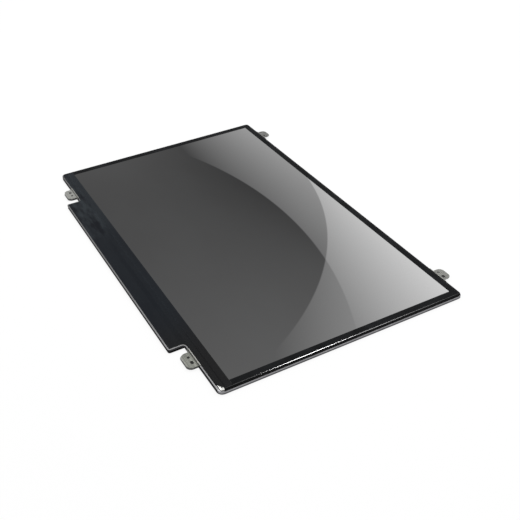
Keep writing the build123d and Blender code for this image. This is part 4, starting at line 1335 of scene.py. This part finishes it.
@dataclass(frozen=True)
class Footprint:
    """Round-cornered rectangle of floor that lies below a part of the panel."""

    low: tuple[float, float]
    high: tuple[float, float]
    radius: float

    def depth(self, x: Signal, y: Signal) -> Signal:
        """How far a point lies inside the rectangle, up to the radius of its corners.

        Args:
            x: Place along X.
            y: Place along Y.

        Returns:
            The depth, which is less than 0 outside.
        """
        past = []
        for place, low, high in zip((x, y), self.low, self.high):
            core = (high - low) / 2 - self.radius
            past.append((abs(place - (low + high) / 2) - core).most(0.0))
        return self.radius - (past[0] * past[0] + past[1] * past[1]) ** 0.5


@dataclass
class Studio:
    """White floor and surroundings, soft lamps, and the card that the screen mirrors."""

    camera: ViewCamera = ViewCamera()
    screen_height: float = 0.0035
    card_height: float = 0.69
    card_half_width: float = 0.158
    card_half_depth: float = 0.0895
    wash_level: float = 0.789
    wash_slope: tuple[float, float] = (3.4, -4.59)
    wash_curve: tuple[float, float, float] = (13.3, -3.8, -27.8)
    zones: tuple[RoundEdge, ...] = (
        RoundEdge((0.0026, -0.3234), 0.365, -0.331, (2.14, 39.45)),
        RoundEdge((-0.0927, -0.1789), 0.2717, -0.758, (17.09, 35.08)),
    )
    world_level: float = 0.7
    floor_drop: float = 0.00005
    floor_half_width: float = 4.0
    floor_own_light: float = 0.88
    floor_edge: float = 0.0003
    paper: Colour = (0.95, 0.95, 0.95, 1.0)
    body_shade: Colour = tint(36, 36, 38)
    tab_shade: Colour = tint(150, 150, 150)
    body_footprints: tuple[Footprint, ...] = (
        Footprint((-0.1617, -0.0975), (0.1617, 0.0933), 0.0045),
        Footprint((-0.109, -0.1089), (0.109, 0.0), 0.0018),
    )
    tab_footprints: tuple[Footprint, ...] = (
        Footprint((0.1145, -0.1047), (0.1312, 0.0), 0.004),
        Footprint((-0.1341, -0.1047), (-0.1174, 0.0), 0.004),
        Footprint((0.126, 0.0), (0.1375, 0.101), 0.004),
        Footprint((-0.144, 0.0), (-0.1325, 0.101), 0.004),
    )
    lamps: tuple[Lamp, ...] = (
        Lamp("key_lamp", (-0.35, 0.45, 1.25), (0.0, 0.0, 0.0), 0.9, 0.9, 10.0),
        Lamp("edge_lamp", (0.296, 0.307, 0.8), (0.16, -0.03, 0.0), 0.17, 0.105, 7.1, True),
        Lamp("edge_fill_lamp", (0.296, 0.432, 0.8), (0.16, 0.016, 0.0), 0.17, 0.12, 1.1, True),
        Lamp("edge_tail_lamp", (0.296, 0.532, 0.8), (0.16, 0.055, 0.0), 0.17, 0.1, 0.3, True),
    )

    def build(self) -> None:
        """Set up the view, the surroundings, the floor, the lamps and the card."""
        bpy.context.scene.view_settings.view_transform = "Standard"
        self.camera.build()
        self.build_world()
        self.build_floor()
        for lamp in self.lamps:
            lamp.build()
        self.build_card()

    def build_world(self) -> None:
        """White surroundings that light the panel at a plain level."""
        world = bpy.data.worlds.new("white_room")
        world.use_nodes = True
        net = Net(world.node_tree)
        strength = self.world_level + (1.0 - self.world_level) * net.seen_ray()
        room = net.node("ShaderNodeBackground", inputs={"Color": WHITE, "Strength": strength})
        net.node("ShaderNodeOutputWorld", inputs={"Surface": room})
        bpy.context.scene.world = world

    def plate(
        self, name: str, half_width: float, half_depth: float, material: bpy.types.Material
    ) -> bpy.types.Object:
        """Flat stage object round its own origin.

        Args:
            name: Name of the object.
            half_width: Half its size along X.
            half_depth: Half its size along Y.
            material: Its material.

        Returns:
            The object.
        """
        corners = [(-1, -1), (1, -1), (1, 1), (-1, 1)]
        mesh = bpy.data.meshes.new(name)
        mesh.from_pydata([(half_width * x, half_depth * y, 0.0) for x, y in corners], [], [(0, 1, 2, 3)])
        mesh.materials.append(material)
        made = bpy.data.objects.new(name, mesh)
        bpy.context.scene.collection.objects.link(made)
        return made

    def covered(self, footprints: tuple[Footprint, ...], x: Signal, y: Signal) -> Signal:
        """Mark the floor inside any of some footprints.

        Args:
            footprints: Parts of the floor.
            x: Place along X.
            y: Place along Y.

        Returns:
            1 inside of them and 0 outside.
        """
        depth = footprints[0].depth(x, y)
        for footprint in footprints[1:]:
            depth = depth.most(footprint.depth(x, y))
        return depth.rise(0.0, self.floor_edge)

    def build_floor(self) -> None:
        """White floor that keeps the shadow, lies dark below the panel and lets views from below through."""
        material = bpy.data.materials.new("white_floor")
        material.use_nodes = True
        net = Net(material.node_tree)
        x, y, _ = net.axes(net.node("ShaderNodeTexCoord", output="Object"))
        body = self.covered(self.body_footprints, x, y)
        tabs = self.covered(self.tab_footprints, x, y)
        paper = net.blend(body, net.blend(tabs, self.paper, self.tab_shade), self.body_shade)
        matt = net.node("ShaderNodeBsdfDiffuse", inputs={"Color": paper})
        bright = net.node("ShaderNodeEmission", inputs={"Color": WHITE})
        share = self.floor_own_light * net.seen_ray() * (1.0 - body.most(tabs))
        lit = net.node("ShaderNodeMixShader", inputs={0: share, 1: matt, 2: bright})
        clear = net.node("ShaderNodeBsdfTransparent")
        below = net.node("ShaderNodeNewGeometry", output="Backfacing")
        passed = net.node("ShaderNodeLightPath", output="Transparent Depth").least(1.0)
        both = net.node("ShaderNodeMixShader", inputs={0: below.most(passed), 1: lit, 2: clear})
        net.node("ShaderNodeOutputMaterial", inputs={"Surface": both})
        floor = self.plate("floor", self.floor_half_width, self.floor_half_width, material)
        floor.location.z = -self.floor_drop

    def build_card(self) -> None:
        """Card with round dark shapes, placed and sized so that the screen mirrors it at its own scale."""
        material = bpy.data.materials.new("gloss_card")
        material.use_nodes = True
        net = Net(material.node_tree)
        x, y, _ = net.axes(net.node("ShaderNodeTexCoord", output="Object"))
        light = self.wash_level + self.wash_slope[0] * x + self.wash_slope[1] * y
        light = light + self.wash_curve[0] * x * x + self.wash_curve[1] * x * y + self.wash_curve[2] * y * y
        for zone in self.zones:
            light = light + zone.light(net, x, y)
        light = light.most(0.0)
        shine = net.node("ShaderNodeEmission", inputs={"Color": net.vector(light, light, light)})
        net.node("ShaderNodeOutputMaterial", inputs={"Surface": shine})
        card = self.plate("gloss_card", self.card_half_width, self.card_half_depth, material)
        eye = self.camera.position()
        scale = (self.card_height + eye.z - 2 * self.screen_height) / (eye.z - self.screen_height)
        card.location = (eye.x * (1 - scale), eye.y * (1 - scale), self.card_height)
        card.scale = (scale, scale, 1.0)
        card.visible_camera = False
        card.visible_diffuse = False
        card.visible_transmission = False
        card.visible_shadow = False


def main() -> None:
    """Dress every solid, add the fine pieces and set up the studio."""
    logging.basicConfig(level=logging.INFO, format="%(name)s: %(message)s")
    for assembly in (Backlight(), Cell(), BoardStrip(), MetalCase(), FrontTapes()):
        assembly.dress()
        assembly.build()
    Studio().build()


if __name__ == "__main__":
    main()
